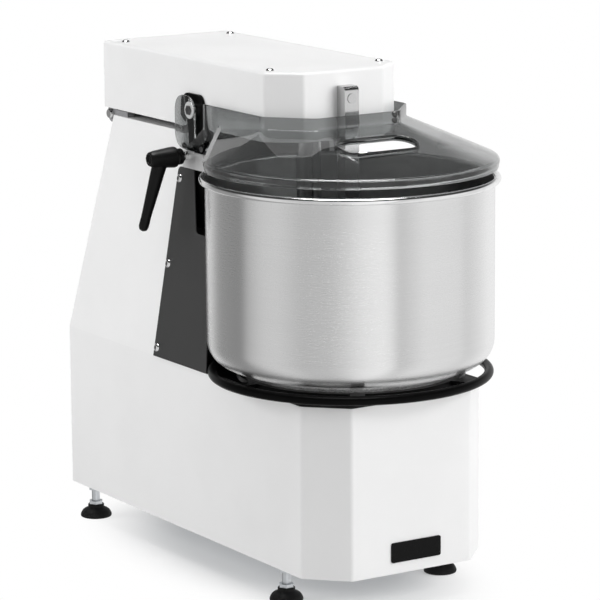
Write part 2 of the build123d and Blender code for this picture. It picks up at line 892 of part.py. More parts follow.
layshaft_seat = column_top - sheet - layshaft_flange
low_bearing = housing_bottom
high_bearing = base_height - spindle_bearing_height
base_bearings = Compound(
    children=[
        ring(
            spindle_bearing_radius,
            spindle_radius + running,
            bottom,
            bottom + spindle_bearing_height,
        )
        for bottom in (low_bearing, high_bearing)
    ]
    + [
        ring(
            layshaft_bearing_radius,
            layshaft_radius + running,
            layshaft_seat - layshaft_bearing_height,
            layshaft_seat,
            0,
            layshaft_reach,
        )
    ]
)

with BuildPart() as bowl_spindle:
    add(ring(spindle_radius, 0, spindle_bottom, turntable_bottom))
    collar_radius = spindle_radius + spindle_collar
    add(ring(collar_radius, 0, base_height + clearance, deck_top + deck_clearance))

sprocket_bottom = bowl_chain_height + (chain_width - sprocket_width) / 2
with BuildPart() as bowl_sprocket:
    add(
        sprocket(
            bowl_sprocket_teeth,
            bowl_chain_pitch,
            spindle_radius,
            spindle_radius + bowl_hub_wall,
            bowl_hub_height,
            sprocket_bottom,
        )
    )

with BuildPart() as layshaft_pinion:
    add(
        sprocket(
            pinion_teeth,
            bowl_chain_pitch,
            layshaft_radius,
            layshaft_radius + pinion_hub_wall,
            pinion_hub_height,
            sprocket_bottom,
            layshaft_reach,
        )
    )

with BuildPart() as bowl_chain:
    add(
        chain_loop(
            bowl_pitch + tooth_tip * bowl_chain_pitch + clearance,
            0,
            pitch_radius(pinion_teeth, bowl_chain_pitch) + tooth_tip * bowl_chain_pitch + clearance,
            layshaft_reach,
            bowl_chain_height,
        )
    )

# ---------------------------------------------------------------- layshaft, gearbox and motor
clutch_bottom = column_top - clutch_flange - clutch_drop
jaw_bottom = clutch_bottom + clutch_flange
upper_disc = jaw_bottom + clutch_jaw + clearance
input_top = head_bottom + head_chain_rise + shaft_past_wheel

with BuildPart() as layshaft:
    add(ring(layshaft_radius, 0, spindle_bottom, clutch_bottom, 0, layshaft_reach))

with BuildPart() as layshaft_housing:
    add(
        ring(
            layshaft_housing_radius + layshaft_flange_width,
            layshaft_opening,
            layshaft_seat,
            column_top - sheet,
            0,
            layshaft_reach,
        )
    )
    add(
        ring(
            layshaft_housing_radius,
            layshaft_bearing_radius,
            layshaft_seat - layshaft_bearing_height,
            layshaft_seat,
            0,
            layshaft_reach,
        )
    )

gearbox_top = gearbox_floor + gearbox_height
with BuildPart() as gearbox:
    with BuildSketch(Plane.XY.offset(up(gearbox_floor))):
        with Locations((0, back(layshaft_reach))):
            RectangleRounded(gearbox_side, gearbox_side, gearbox_corner)
    extrude(amount=gearbox_height)
    fillet(gearbox.faces().sort_by(Axis.Z)[-1].edges(), gearbox_edge)
    boss_bottom = gearbox_floor - gearbox_boss
    boss_top = gearbox_top + gearbox_boss
    add(ring(layshaft_bearing_radius, 0, boss_bottom, boss_top, 0, layshaft_reach))
    add(
        ring(
            layshaft_radius + running, 0, boss_bottom - cut_past, boss_top + cut_past, 0, layshaft_reach
        ),
        mode=Mode.SUBTRACT,
    )
    for side in (-1, 1):
        for step in (-1, 1):
            x, reach = side * gearbox_leg_side, layshaft_reach + step * gearbox_leg_side
            add(ring(gearbox_leg, 0, sheet, gearbox_floor, x, reach))
            add(ring(2 * gearbox_leg, 0, sheet, 2 * sheet, x, reach))

motor_front = layshaft_reach + gearbox_side / 2
motor_height = gearbox_floor + gearbox_height / 2
with BuildPart() as motor:
    motor_plane = Plane(
        (0, back(motor_front), up(motor_height)), x_dir=(1, 0, 0), z_dir=(0, 1, 0)
    )
    with BuildSketch(motor_plane):
        Circle(motor_flange_radius)
    extrude(amount=motor_flange)
    with BuildSketch(motor_plane.offset(motor_flange)):
        Circle(motor_core_radius)
        with PolarLocations(motor_core_radius, motor_fin_count):
            Rectangle(2 * (motor_fin_reach - motor_core_radius), motor_fin_width)
    extrude(amount=motor_length - motor_cowl_length - motor_flange)
    with BuildSketch(motor_plane.offset(motor_length - motor_cowl_length)):
        Circle(motor_radius)
    extrude(amount=motor_cowl_length)
    fillet(motor.faces().sort_by(Axis.Y)[-1].edges(), motor_cowl_edge)


def clutch_half(disc_bottom, jaw_from, jaw_to, turn):
    """Clutch disc with two quarter-circle jaws."""
    spread = pi / 4 - clutch_play / (2 * clutch_radius)
    reach_out = 2 * clutch_radius
    with BuildPart() as half:
        add(ring(clutch_radius, 0, disc_bottom, disc_bottom + clutch_flange, 0, layshaft_reach))
        with BuildSketch(Plane((0, back(layshaft_reach), up(jaw_from)))):
            for side in (turn, turn + pi):
                with BuildLine():
                    Polyline(
                        (0, 0),
                        (reach_out * cos(side - spread), reach_out * sin(side - spread)),
                        (reach_out * cos(side + spread), reach_out * sin(side + spread)),
                        close=True,
                    )
                make_face()
            Circle(clutch_radius, mode=Mode.INTERSECT)
            Circle(0.35 * clutch_radius, mode=Mode.SUBTRACT)
        extrude(amount=jaw_to - jaw_from)
    return half.part


with BuildPart() as clutch_lower:
    add(clutch_half(clutch_bottom, jaw_bottom, jaw_bottom + clutch_jaw, 0))

with BuildPart() as clutch_upper:
    add(clutch_half(upper_disc, jaw_bottom + clearance, upper_disc, pi / 2))

# ---------------------------------------------------------------- head drive
head_chain_bottom = head_bottom + head_chain_rise
head_sprocket_bottom = head_chain_bottom + (chain_width - sprocket_width) / 2

with BuildPart() as input_shaft:
    add(ring(layshaft_radius, 0, upper_disc + clutch_flange, input_top, 0, layshaft_reach))

with BuildPart() as input_housing:
    add(
        ring(
            layshaft_housing_radius + layshaft_flange_width,
            layshaft_bearing_radius,
            plate_top,
            plate_top + layshaft_flange,
            0,
            layshaft_reach,
        )
    )
    add(
        ring(
            layshaft_housing_radius,
            layshaft_bearing_radius,
            plate_top + layshaft_flange,
            plate_top + input_housing_height,
            0,
            layshaft_reach,
        )
    )

with BuildPart() as input_sprocket:
    add(
        sprocket(
            input_teeth,
            head_chain_pitch,
            layshaft_radius,
            layshaft_radius + head_hub_wall,
            head_hub_height,
            head_sprocket_bottom,
            layshaft_reach,
        )
    )

spiral_housing_top = plate_top + spiral_housing_height
with BuildPart() as spiral_housing:
    add(
        ring(
            spiral_housing_radius + spiral_flange_width,
            spiral_bearing_radius,
            plate_top,
            plate_top + spiral_flange,
            0,
            spiral_reach,
        )
    )
    add(
        ring(
            spiral_housing_radius,
            spiral_bearing_radius,
            plate_top + spiral_flange,
            spiral_housing_top,
            0,
            spiral_reach,
        )
    )

head_bearings = Compound(
    children=[
        ring(
            spiral_bearing_radius,
            spiral_shaft_radius + running,
            bottom,
            bottom + spiral_bearing_height,
            0,
            spiral_reach,
        )
        for bottom in (plate_top, spiral_housing_top - spiral_bearing_height)
    ]
    + [
        ring(
            layshaft_bearing_radius,
            layshaft_radius + running,
            bottom,
            bottom + layshaft_bearing_height,
            0,
            layshaft_reach,
        )
        for bottom in (plate_top, plate_top + input_housing_height - layshaft_bearing_height)
    ]
)

with BuildPart() as spiral_shaft:
    add(ring(spiral_shaft_radius, 0, head_bottom - spiral_end, input_top, 0, spiral_reach))

with BuildPart() as spiral_sprocket:
    add(
        sprocket(
            spiral_teeth,
            head_chain_pitch,
            spiral_shaft_radius,
            spiral_shaft_radius + head_hub_wall,
            head_hub_height,
            head_sprocket_bottom,
            spiral_reach,
        )
    )

with BuildPart() as head_chain:
    add(
        chain_loop(
            pitch_radius(spiral_teeth, head_chain_pitch) + tooth_tip * head_chain_pitch + clearance,
            spiral_reach,
            pitch_radius(input_teeth, head_chain_pitch) + tooth_tip * head_chain_pitch + clearance,
            layshaft_reach,
            head_chain_bottom,
        )
    )


# ---------------------------------------------------------------- kneading spiral
def corner_radii(points):
    """Largest gentle radius for each corner of a path."""
    radii = []
    for before, corner, after in zip(points, points[1:], points[2:]):
        run_in = Vector(*corner) - Vector(*before)
        run_out = Vector(*after) - Vector(*corner)
        turn = radians(run_in.get_angle(run_out))
        radii.append(0.45 * min(run_in.length, run_out.length) / tan(turn / 2))
    return radii


bowl_inside_floor = bowl_bottom + bowl_wall
spiral_low = bowl_inside_floor + spiral_floor_gap + spiral_rod
spiral_radius = spiral_sweep - spiral_rod
spiral_start = head_bottom - spiral_end
spiral_high = spiral_start - 3.2 * spiral_rod
step_angle = radians(50)
spiral_points = [(0, back(spiral_reach), up(spiral_start))]
spiral_points.append((0, back(spiral_reach), up(spiral_high + 0.4 * spiral_rod)))
for step in range(spiral_steps):
    share = step / (spiral_steps - 1)
    spiral_points.append(
        (
            spiral_radius * sin(step * step_angle),
            back(spiral_reach + spiral_radius * cos(step * step_angle)),
            up(spiral_high - spiral_rod - share * (spiral_high - spiral_rod - spiral_low)),
        )
    )
spiral_points.append((0.2 * spiral_radius, back(spiral_reach), up(spiral_low)))

with BuildPart() as spiral_hook:
    with BuildLine() as spiral_path:
        FilletPolyline(*spiral_points, radius=corner_radii(spiral_points))
    with BuildSketch(Plane((0, back(spiral_reach), up(spiral_start)), z_dir=(0, 0, -1))):
        Circle(spiral_rod)
    sweep(path=spiral_path.line)

# ---------------------------------------------------------------- breaker bar
breaker_bottom = bowl_inside_floor + breaker_floor_gap
breaker_height = head_bottom + breaker_top - breaker_bottom
with BuildPart() as breaker_bar:
    with BuildSketch(Plane.XY.offset(up(breaker_bottom))):
        with Locations((0, back(head_front - breaker_depth / 2))):
            Rectangle(breaker_width, breaker_depth)
    extrude(amount=breaker_height)
    top_front = breaker_bar.edges().filter_by(Axis.X).group_by(Axis.Z)[-1].sort_by(Axis.Y)[0]
    fillet(top_front, breaker_round)
    fillet(breaker_bar.faces().sort_by(Axis.Z)[0].edges().filter_by(Axis.X), breaker_round)
    with BuildSketch(Plane.XZ.offset(-back(head_front))):
        with Locations((0, up(breaker_screw_height))):
            Circle(breaker_shank + hole_play)
    extrude(amount=breaker_depth, mode=Mode.SUBTRACT)

with BuildPart() as breaker_screw:
    breaker_face = Plane(
        (0, back(head_front - breaker_depth), up(breaker_screw_height)),
        x_dir=(1, 0, 0),
        z_dir=(0, -1, 0),
    )
    with BuildSketch(breaker_face):
        Circle(breaker_screw_radius)
    extrude(amount=breaker_screw_head)
    with BuildSketch(breaker_face):
        Circle(breaker_shank)
    extrude(amount=-(breaker_depth + 3 * sheet))

# ---------------------------------------------------------------- bowl and turntable
with BuildPart() as bowl:
    with BuildSketch(Plane.XZ.offset(-back(0))):
        with BuildLine():
            floor_z = up(bowl_bottom)
            lip_z = up(rim_height) - rim_roll
            inner = bowl_corner - bowl_wall
            turn = bowl_radius - bowl_corner
            Line((0, floor_z), (turn, floor_z))
            RadiusArc((turn, floor_z), (bowl_radius, floor_z + bowl_corner), -bowl_corner)
            Line((bowl_radius, floor_z + bowl_corner), (bowl_radius, lip_z))
            Line((bowl_radius, lip_z), (bowl_radius - bowl_wall, lip_z))
            Line((bowl_radius - bowl_wall, lip_z), (bowl_radius - bowl_wall, floor_z + bowl_corner))
            RadiusArc(
                (bowl_radius - bowl_wall, floor_z + bowl_corner), (turn, floor_z + bowl_wall), inner
            )
            Line((turn, floor_z + bowl_wall), (0, floor_z + bowl_wall))
            Line((0, floor_z + bowl_wall), (0, floor_z))
        make_face()
        with Locations((rim_centre, lip_z)):
            Circle(rim_roll)
        # lip between the wall and the rolled rim
        lip_in = min(rim_centre, bowl_radius - bowl_wall)
        lip_out = max(rim_centre, bowl_radius)
        with Locations(((lip_in + lip_out) / 2, lip_z - bowl_wall / 2)):
            Rectangle(lip_out - lip_in, bowl_wall)
    revolve(axis=Axis((0, back(0), 0), (0, 0, 1)))

pin_circle = foot_ring_radius - foot_ring_width / 2
with BuildPart() as bowl_foot_ring:
    with BuildSketch(Plane.XY.offset(up(turntable_top))):
        with Locations((0, back(0))):
            Circle(foot_ring_radius)
            Circle(foot_ring_radius - foot_ring_width, mode=Mode.SUBTRACT)
            with PolarLocations(pin_circle, drive_pin_count, start_angle=90):
                Circle(drive_pin_radius + clearance, mode=Mode.SUBTRACT)
    extrude(amount=foot_ring_height)

turntable_middle = turntable_bottom + turntable_thickness / 2
with BuildPart() as turntable:
    add(ring(turntable_hub_radius, spindle_radius, deck_top + deck_clearance, turntable_bottom))
    add(ring(turntable_radius, 0, turntable_bottom, turntable_top))
    with BuildSketch(Plane.XY.offset(up(turntable_bottom))):
        with Locations((0, back(0))):
            with PolarLocations((turntable_radius + hoop_centre) / 2, spoke_count):
                Rectangle(hoop_centre - turntable_radius + spoke_width, spoke_width)
    extrude(amount=turntable_thickness)
    with Locations((0, back(0), up(turntable_middle + hoop_rise))):
        Torus(hoop_centre, hoop_tube, mode=Mode.SUBTRACT)
    with BuildSketch(Plane.XY.offset(up(turntable_bottom - cut_past))):
        with Locations((0, back(0))):
            Circle(hoop_radius + spoke_width)
            Circle(hoop_centre, mode=Mode.SUBTRACT)
    extrude(amount=turntable_thickness + 2 * cut_past, mode=Mode.SUBTRACT)
    with BuildSketch(Plane.XY.offset(up(turntable_top))):
        with Locations((0, back(0))):
            with PolarLocations(pin_circle, drive_pin_count, start_angle=90):
                Circle(drive_pin_radius)
    extrude(amount=foot_ring_height - sheet)

with BuildPart() as turntable_hoop:
    with Locations((0, back(0), up(turntable_middle + hoop_rise))):
        Torus(hoop_centre, hoop_tube)


# ---------------------------------------------------------------- clear lid
def transition_plan(radius, reach_cut):
    """Round outline cut off behind, in as many edges as the collar's outline has."""
    side_cut = sqrt(radius**2 - reach_cut**2)
    last = pi - atan(side_cut / reach_cut)
    breaks = [radians(azimuth) for azimuth in crease_azimuths] + [last]

    def spot(azimuth):
        return (radius * sin(azimuth), back(-radius * cos(azimuth)))

    with BuildSketch() as outline:
        with BuildLine():
            stops = [-a for a in reversed(breaks)] + breaks
            for start, end in zip(stops, stops[1:]):
                ThreePointArc(spot(start), spot((start + end) / 2), spot(end))
            Line(spot(last), spot(-last))
        make_face()
    return outline.sketch


def collar_outline(inset, reach_cut):
    """Collar's outline with rounded front corners, open to a chosen reach behind."""
    corners = chamfered_corners(
        collar_half, collar_front, lid_pivot_reach, collar_chamfer_side, collar_chamfer_front
    )
    with BuildSketch() as outline:
        add(plan(corners, inset))
        fillet(outline.vertices().filter_by(lambda v: v.Y < back(lid_cut)), bend_radius - inset)
        with Locations((0, back(reach_cut + base_rear / 2))):
            Rectangle(2 * base_width, base_rear, mode=Mode.SUBTRACT)
    return outline.sketch


def lid_body(inset, bottom, shoulder_drop, cut, ring_cut, top):
    """Solid bounded by the lid's skirt, its sloping top and its collar, moved inward."""
    with BuildPart() as made:
        with BuildSketch(Plane.XY.offset(up(bottom))):
            add(transition_plan(lid_radius - lid_skirt_draft - inset, ring_cut))
        with BuildSketch(Plane.XY.offset(up(lid_shoulder - shoulder_drop))):
            add(transition_plan(lid_radius - inset, ring_cut))
        loft(ruled=True)
        with BuildSketch(Plane.XY.offset(up(lid_shoulder - shoulder_drop))):
            add(transition_plan(lid_radius - inset, ring_cut))
        with BuildSketch(Plane.XY.offset(up(collar_fold - shoulder_drop))):
            add(collar_outline(inset, cut))
        loft(ruled=True)
        with BuildSketch(Plane.XY.offset(up(collar_fold - shoulder_drop))):
            add(collar_outline(inset, cut))
        extrude(amount=top - collar_fold + shoulder_drop)
    return made.part


facet_rise = atan((collar_fold - lid_shoulder) / (lid_radius + collar_front))
feed_plane_height = lid_shoulder + (lid_radius - feed_ahead) * tan(facet_rise)
feed_plane = Plane(
    (feed_x, back(-feed_ahead), up(feed_plane_height)),
    x_dir=(1, 0, 0),
    z_dir=(0, -sin(facet_rise), cos(facet_rise)),
)
ear_pivot = (back(lid_pivot_reach), up(lid_pivot_height))
ear_top = head_bottom + lid_ear_top
ear_bottom = head_bottom + lid_ear_bottom
ear_screw_spots = [
    (back(reach), up(ear_bottom + ear_screw_rise)) for reach in (ear_screw_front, ear_screw_rear)
]
collar_screw_x = collar_half - collar_chamfer_front - collar_screw_inset
collar_screw_spots = [
    (collar_screw_x, up(collar_edge - collar_screw_drop - row * collar_screw_spacing)) for row in (0, 1)
]
lid_screw_hole = 0.5 * lid_screw_radius + hole_play

with BuildPart() as lid_ear:
    with BuildSketch(Plane.YZ.offset(-collar_half)) as ear_face:
        with BuildLine():
            Polyline(
                (back(lid_cut), up(collar_fold)),
                (back(lid_cut), up(collar_edge)),
                (back(lid_wing_rear), up(collar_edge)),
                (back(lid_wing_rear), up(head_bottom + lid_notch_top)),
                (back(lid_ear_front + lid_wall), up(head_bottom + lid_notch_bottom)),
                (back((lid_ear_front + lid_ear_rear) / 2), up(ear_bottom)),
                (back(lid_wing_rear), up(ear_bottom)),
                close=True,
            )
        make_face()
        ear_mid_y = back((lid_ear_front + lid_ear_rear) / 2)
        with Locations((ear_mid_y, up((ear_top + ear_bottom) / 2))):
            RectangleRounded(lid_ear_rear - lid_ear_front, ear_top - ear_bottom, lid_ear_corner)
        with Locations(ear_pivot):
            Circle(lid_pivot_radius + running, mode=Mode.SUBTRACT)
        with Locations(*ear_screw_spots):
            Circle(lid_screw_hole, mode=Mode.SUBTRACT)
    extrude(amount=lid_wall)

with BuildPart() as lid_shell:
    add(lid_body(0, lid_bottom, 0, lid_cut, lid_ring_cut, collar_edge))
    with BuildSketch(feed_plane.offset(-2 * feed_rim)):
        SlotOverall(feed_length, feed_width)
    extrude(amount=3 * feed_rim)
    add(
        lid_body(
            lid_wall,
            lid_bottom - cut_past,
            lid_wall,
            lid_cut + 2 * lid_wall,
            lid_ring_cut + 2 * lid_wall,
            collar_edge + cut_past,
        ),
        mode=Mode.SUBTRACT,
    )
    with BuildSketch(feed_plane.offset(-4 * feed_rim)):
        SlotOverall(feed_length - 2 * lid_wall, feed_width - 2 * lid_wall)
    extrude(amount=8 * feed_rim, mode=Mode.SUBTRACT)
    add(lid_ear.part)
    add(mirror(lid_ear.part, about=Plane.YZ))
    with BuildSketch(Plane.XZ.offset(-back(collar_front) + lid_wall)):
        with Locations(*collar_screw_spots):
            Circle(lid_screw_hole)
    extrude(amount=-3 * lid_wall, mode=Mode.SUBTRACT)


def lid_screw(plane):
    """Screw through the lid's wall on the plane's local origin, with a nut behind it."""
    with BuildPart() as made:
        add(button_head(lid_screw_radius))
        with BuildSketch():
            Circle(0.5 * lid_screw_radius)
        extrude(amount=-lid_wall)
        with BuildSketch(Plane.XY.offset(-lid_wall)):
            RegularPolygon(0.8 * lid_screw_radius, 6)
        extrude(amount=-0.5 * lid_screw_radius)
    return plane * made.part


ear_screws = [
    lid_screw(Plane((-collar_half, y, z), x_dir=(0, -1, 0), z_dir=(-1, 0, 0))) for y, z in ear_screw_spots
]
collar_screws = [
    lid_screw(Plane((x, back(collar_front), z), x_dir=(1, 0, 0), z_dir=(0, -1, 0)))
    for x, z in collar_screw_spots
]
lid_screws = Compound(
    children=ear_screws + [mirror(screw, about=Plane.YZ) for screw in ear_screws] + collar_screws
)

# ---------------------------------------------------------------- lid pivots
bar_in = head_half + lock_bar_gap
bar_out = bar_in + lock_bar_thickness
ear_in = collar_half - lid_wall
washer_out = -collar_half - pivot_washer
nut_out = -head_half + sheet + hole_play
with BuildPart() as pivot_bolt:
    for radius, start, end in (
        (lid_pivot_radius, washer_out, -head_half + pivot_end),
        (pivot_head_radius, washer_out - pivot_head, washer_out),
        (pivot_washer_radius, washer_out, -collar_half - running),
        (pivot_spacer_radius, -ear_in + running, -bar_out),
        (pivot_nut_radius, nut_out, nut_out + pivot_nut),
    ):
        add(bar_x(radius, lid_pivot_reach, lid_pivot_height, start, end))
lid_pivot_bolts = mirrored_pair(pivot_bolt.part)

# ---------------------------------------------------------------- head lock
with BuildPart() as lock_bar:
    with BuildSketch(Plane.YZ.offset(-bar_out)) as bar_face:
        with BuildLine():
            Polyline(
                (back(lock_bar_front), up(lock_bar_bottom)),
                (back(lock_bar_rear), up(lock_bar_bottom)),
                (back(lock_bar_rear), up(lock_neck_bottom)),
                (back(lock_neck_rear), up(lock_neck_bottom + lock_neck_rear - lock_bar_rear)),
                (back(lock_neck_rear), up(lock_head_bottom)),
                (back(lock_head_rear), up(lock_head_bottom + lock_head_rear - lock_neck_rear)),
                (back(lock_head_rear), up(lock_head_top)),
                (back(lock_bar_front), up(lock_head_top)),
                close=True,
            )
        make_face()
        fillet(bar_face.vertices().group_by(Axis.Y)[0], slot_corner)
        fillet(bar_face.vertices().group_by(Axis.Y)[-1], lock_head_corner)
        with Locations(ear_pivot):
            Circle(lid_pivot_radius + running, mode=Mode.SUBTRACT)
    extrude(amount=lock_bar_thickness)
lock_bars = mirrored_pair(lock_bar.part)


def column_front_at(height):
    """Reach of the column's front face."""
    return column_front - (height - base_height) / column_height * column_front_lean


lock_bottom = strap_middle - strap_height
lock_top = strap_middle + strap_height / 2 + lock_plate_rise
lock_front = strap_front + lock_plate_setback
with BuildPart() as lock_plate:
    with BuildSketch(Plane.YZ.offset(-head_half)):
        with BuildLine():
            Polyline(
                (back(lock_front), up(lock_bottom)),
                (back(lock_front), up(lock_top)),
                (back(column_front_at(lock_top)), up(lock_top)),
                (back(column_front_at(lock_bottom)), up(lock_bottom)),
                close=True,
            )
        make_face()
        with Locations((back(lever_reach), up(lever_height))):
            Circle(stud_radius + running, mode=Mode.SUBTRACT)
    extrude(amount=lock_plate_thickness)
    foot_low = column_front_at(lock_bottom)
    foot_high = column_front_at(lock_top)
    with BuildSketch(Plane.YZ.offset(-head_half)):
        with BuildLine():
            Polyline(
                (back(foot_low - lock_foot_thickness), up(lock_bottom)),
                (back(foot_high - lock_foot_thickness), up(lock_top)),
                (back(foot_high), up(lock_top)),
                (back(foot_low), up(lock_bottom)),
                close=True,
            )
        make_face()
    extrude(amount=lock_foot_width)
lock_plates = mirrored_pair(lock_plate.part)

strap_in = bar_out + clearance
strap_out = strap_in + strap_thickness
with BuildPart() as clamp_strap:
    with BuildSketch(Plane.YZ.offset(-strap_out)):
        with Locations((back((strap_front + strap_rear) / 2), up(strap_middle))):
            Rectangle(strap_rear - strap_front, strap_height)
        with Locations((back(lever_reach), up(lever_height))):
            Circle(stud_radius + hole_play, mode=Mode.SUBTRACT)
    extrude(amount=strap_thickness)
    heel_front = lock_bar_rear + 2 * clearance
    with BuildSketch(Plane.YZ.offset(-strap_in)):
        with Locations((back((heel_front + strap_rear) / 2), up(strap_middle))):
            Rectangle(strap_rear - heel_front, strap_height)
        with Locations((back(lever_reach), up(lever_height))):
            Circle(stud_radius + hole_play, mode=Mode.SUBTRACT)
    extrude(amount=strap_in - head_half)
clamp_straps = mirrored_pair(clamp_strap.part)

hub_in = strap_out + lever_hub_gap
hub_out = hub_in + lever_hub_length
stud_out = hub_out - stud_setback
with BuildPart() as clamp_stud:
    add(bar_x(stud_radius, lever_reach, lever_height, -stud_out, -head_half + lock_plate_thickness))
    nut_radius = stud_radius + stud_nut_wall
    add(bar_x(nut_radius, lever_reach, lever_height, -strap_out - stud_nut, -strap_out))
clamp_studs = mirrored_pair(clamp_stud.part)

arm_root_x = -(hub_out - lever_arm_inset)
arm_splay = radians(lever_arm_splay)
arm_lean = radians(lever_arm_lean)
arm_down = Vector(-sin(arm_splay), sin(arm_lean), -cos(arm_splay) * cos(arm_lean))
arm_plane = Plane((arm_root_x, back(lever_reach), up(lever_height)), z_dir=arm_down)
hub_neck_end = hub_in + lever_neck_share * lever_hub_length
with BuildPart() as clamp_lever_left:
    with BuildSketch(Plane.YZ.offset(-hub_neck_end)):
        with Locations((back(lever_reach), up(lever_height))):
            Circle(lever_hub_radius)
    with BuildSketch(Plane.YZ.offset(-hub_out)):
        with Locations((back(lever_reach), up(lever_height))):
            Circle(lever_end_radius)
    loft(ruled=True)
    fillet(clamp_lever_left.edges().group_by(Axis.X)[0], 0.3 * lever_end_radius)
    add(bar_x(lever_neck_radius, lever_reach, lever_height, -hub_neck_end - cut_past, -hub_in))
    with Locations(arm_plane * Pos(0, 0, (lever_arm - lever_tip_radius) / 2)):
        Cone(lever_root_radius, lever_tip_radius, lever_arm - lever_tip_radius)
    with Locations(arm_plane * Pos(0, 0, lever_arm - lever_tip_radius)):
        Sphere(lever_tip_radius)
    bore_end = -stud_out - 2 * cut_past
    add(
        bar_x(stud_radius + running, lever_reach, lever_height, bore_end, -hub_in + cut_past),
        mode=Mode.SUBTRACT,
    )
with BuildPart() as clamp_lever_right:
    add(mirror(clamp_lever_left.part, about=Plane.YZ))

# ---------------------------------------------------------------- controls
with BuildPart() as control_plate:
    with BuildSketch(control_plane):
        RectangleRounded(control_length, control_width, bend_radius)
        with Locations(*button_spots):
            Circle(button_radius + clearance, mode=Mode.SUBTRACT)
    extrude(amount=sheet)
    with BuildSketch(control_plane.offset(sheet)):
        with Locations(*button_spots):
            Circle(button_radius + button_collar)
            Circle(button_radius + clearance, mode=Mode.SUBTRACT)
    extrude(amount=button_collar_height)


def push_button(spot):
    """Push button with a domed face, standing through the control plate."""
    with BuildPart() as made:
        with BuildSketch(control_plane.offset(-button_depth)):
            with Locations(spot):
                Circle(button_radius)
        extrude(amount=button_depth + sheet + button_stand)
        top_face = made.faces().sort_by(Axis((0, 0, 0), tuple(control_plane.z_dir)))[-1]
        fillet(top_face.edges(), button_edge)
    return made.part


with BuildPart() as start_button:
    add(push_button(button_spots[0]))
with BuildPart() as stop_button:
    add(push_button(button_spots[1]))

with BuildPart() as control_box:
    with BuildSketch(control_plane.offset(-sheet)):
        RectangleRounded(control_length, control_width, bend_radius / 2)
    extrude(amount=-control_box_depth)
    with BuildSketch(control_plane.offset(-sheet)):
        with Locations(*button_spots):
            Circle(button_radius + button_room)
    extrude(amount=-(button_depth + button_travel + sheet), mode=Mode.SUBTRACT)

with BuildPart() as cable_gland:
    gland_face = Plane((gland_x, back(base_rear), up(gland_height)), x_dir=(-1, 0, 0), z_dir=(0, 1, 0))
    with BuildSketch(gland_face):
        RegularPolygon(gland_radius, 6)
    extrude(amount=0.45 * gland_reach)
    with BuildSketch(gland_face.offset(0.45 * gland_reach)):
        Circle(0.85 * gland_radius)
    extrude(amount=0.55 * gland_reach)
    fillet(cable_gland.faces().sort_by(Axis.Y)[-1].edges(), gland_edge)
    with BuildSketch(gland_face):
        Circle(gland_thread)
    extrude(amount=-(sheet + gland_nut / 2))
    with BuildSketch(gland_face.offset(-sheet)):
        RegularPolygon(gland_radius, 6)
    extrude(amount=-gland_nut)
    with BuildSketch(gland_face.offset(-(sheet + gland_nut + cut_past))):
        Circle(cable_radius)
    extrude(amount=sheet + gland_nut + gland_reach + 2 * cut_past, mode=Mode.SUBTRACT)

with BuildPart() as badge_plate:
    with BuildSketch(Plane.XZ.offset(-back(-base_front))):
        with Locations((badge_x, up(badge_bottom + badge_height / 2))):
            RectangleRounded(badge_width, badge_height, badge_corner)
    extrude(amount=badge_depth)

# ---------------------------------------------------------------- export
pieces = {
    "body_shell": body_shell.part,
    "bottom_plate": bottom_plate.part,
    "deck_plate": deck_plate.part,
    "rear_cover": rear_cover.part,
    "side_guard_left": side_guard_left.part,
    "side_guard_right": side_guard_right.part,
    "housing_screws": housing_screws,
    "foot_pads": foot_pads,
    "foot_stems": foot_stems,
    "foot_nuts": foot_nuts,
    "badge_plate": badge_plate.part,
    "hinge_ears": hinge_ears,
    "hinge_pin": hinge_pin.part,
    "lock_plates": lock_plates,
    "clamp_straps": clamp_straps,
    "clamp_studs": clamp_studs,
    "head_buffers": head_buffers,
    "bowl_bearing_housing": bowl_bearing_housing.part,
    "base_bearings": base_bearings,
    "gearbox": gearbox.part,
    "motor": motor.part,
    "bowl_chain": bowl_chain.part,
    "layshaft_housing": layshaft_housing.part,
    "control_plate": control_plate.part,
    "control_box": control_box.part,
    "cable_gland": cable_gland.part,
    "turntable": turntable.part,
    "turntable_hoop": turntable_hoop.part,
    "bowl_spindle": bowl_spindle.part,
    "bowl_sprocket": bowl_sprocket.part,
    "bowl": bowl.part,
    "bowl_foot_ring": bowl_foot_ring.part,
    "layshaft": layshaft.part,
    "layshaft_pinion": layshaft_pinion.part,
    "clutch_lower": clutch_lower.part,
    "input_shaft": input_shaft.part,
    "clutch_upper": clutch_upper.part,
    "input_sprocket": input_sprocket.part,
    "head_casing": head_casing.part,
    "head_cover": head_cover.part,
    "cover_screws": cover_screws,
    "head_base_plate": head_base_plate.part,
    "head_hinge_tube": head_hinge_tube.part,
    "spiral_housing": spiral_housing.part,
    "head_bearings": head_bearings,
    "input_housing": input_housing.part,
    "head_chain": head_chain.part,
    "breaker_bar": breaker_bar.part,
    "breaker_screw": breaker_screw.part,
    "lock_bars": lock_bars,
    "lid_pivot_bolts": lid_pivot_bolts,
    "spiral_shaft": spiral_shaft.part,
    "spiral_sprocket": spiral_sprocket.part,
    "spiral_hook": spiral_hook.part,
    "lid_shell": lid_shell.part,
    "lid_screws": lid_screws,
    "clamp_lever_left": clamp_lever_left.part,
    "clamp_lever_right": clamp_lever_right.part,
    "start_button": start_button.part,
    "stop_button": stop_button.part,
}

os.makedirs("parts", exist_ok=True)
for name, piece in pieces.items():
    piece.label = name
    export_step(piece, f"parts/{name}.step")
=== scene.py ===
"""Bench spiral dough mixer: finishes, finely modelled pieces, studio light and the camera.

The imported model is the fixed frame. Its nodes keep their shape and place; this script gives each one a
finish, puts modelled pieces in place of the nodes that are looked at closely, and sets the studio up.
Lengths are metres. +Z is up, the operator stands at -Y.
"""

from __future__ import annotations

import json
import logging
import math
from dataclasses import dataclass
from enum import Enum
from typing import Callable, Iterable, Sequence, Union

import bmesh
import bpy
from mathutils import Matrix, Vector


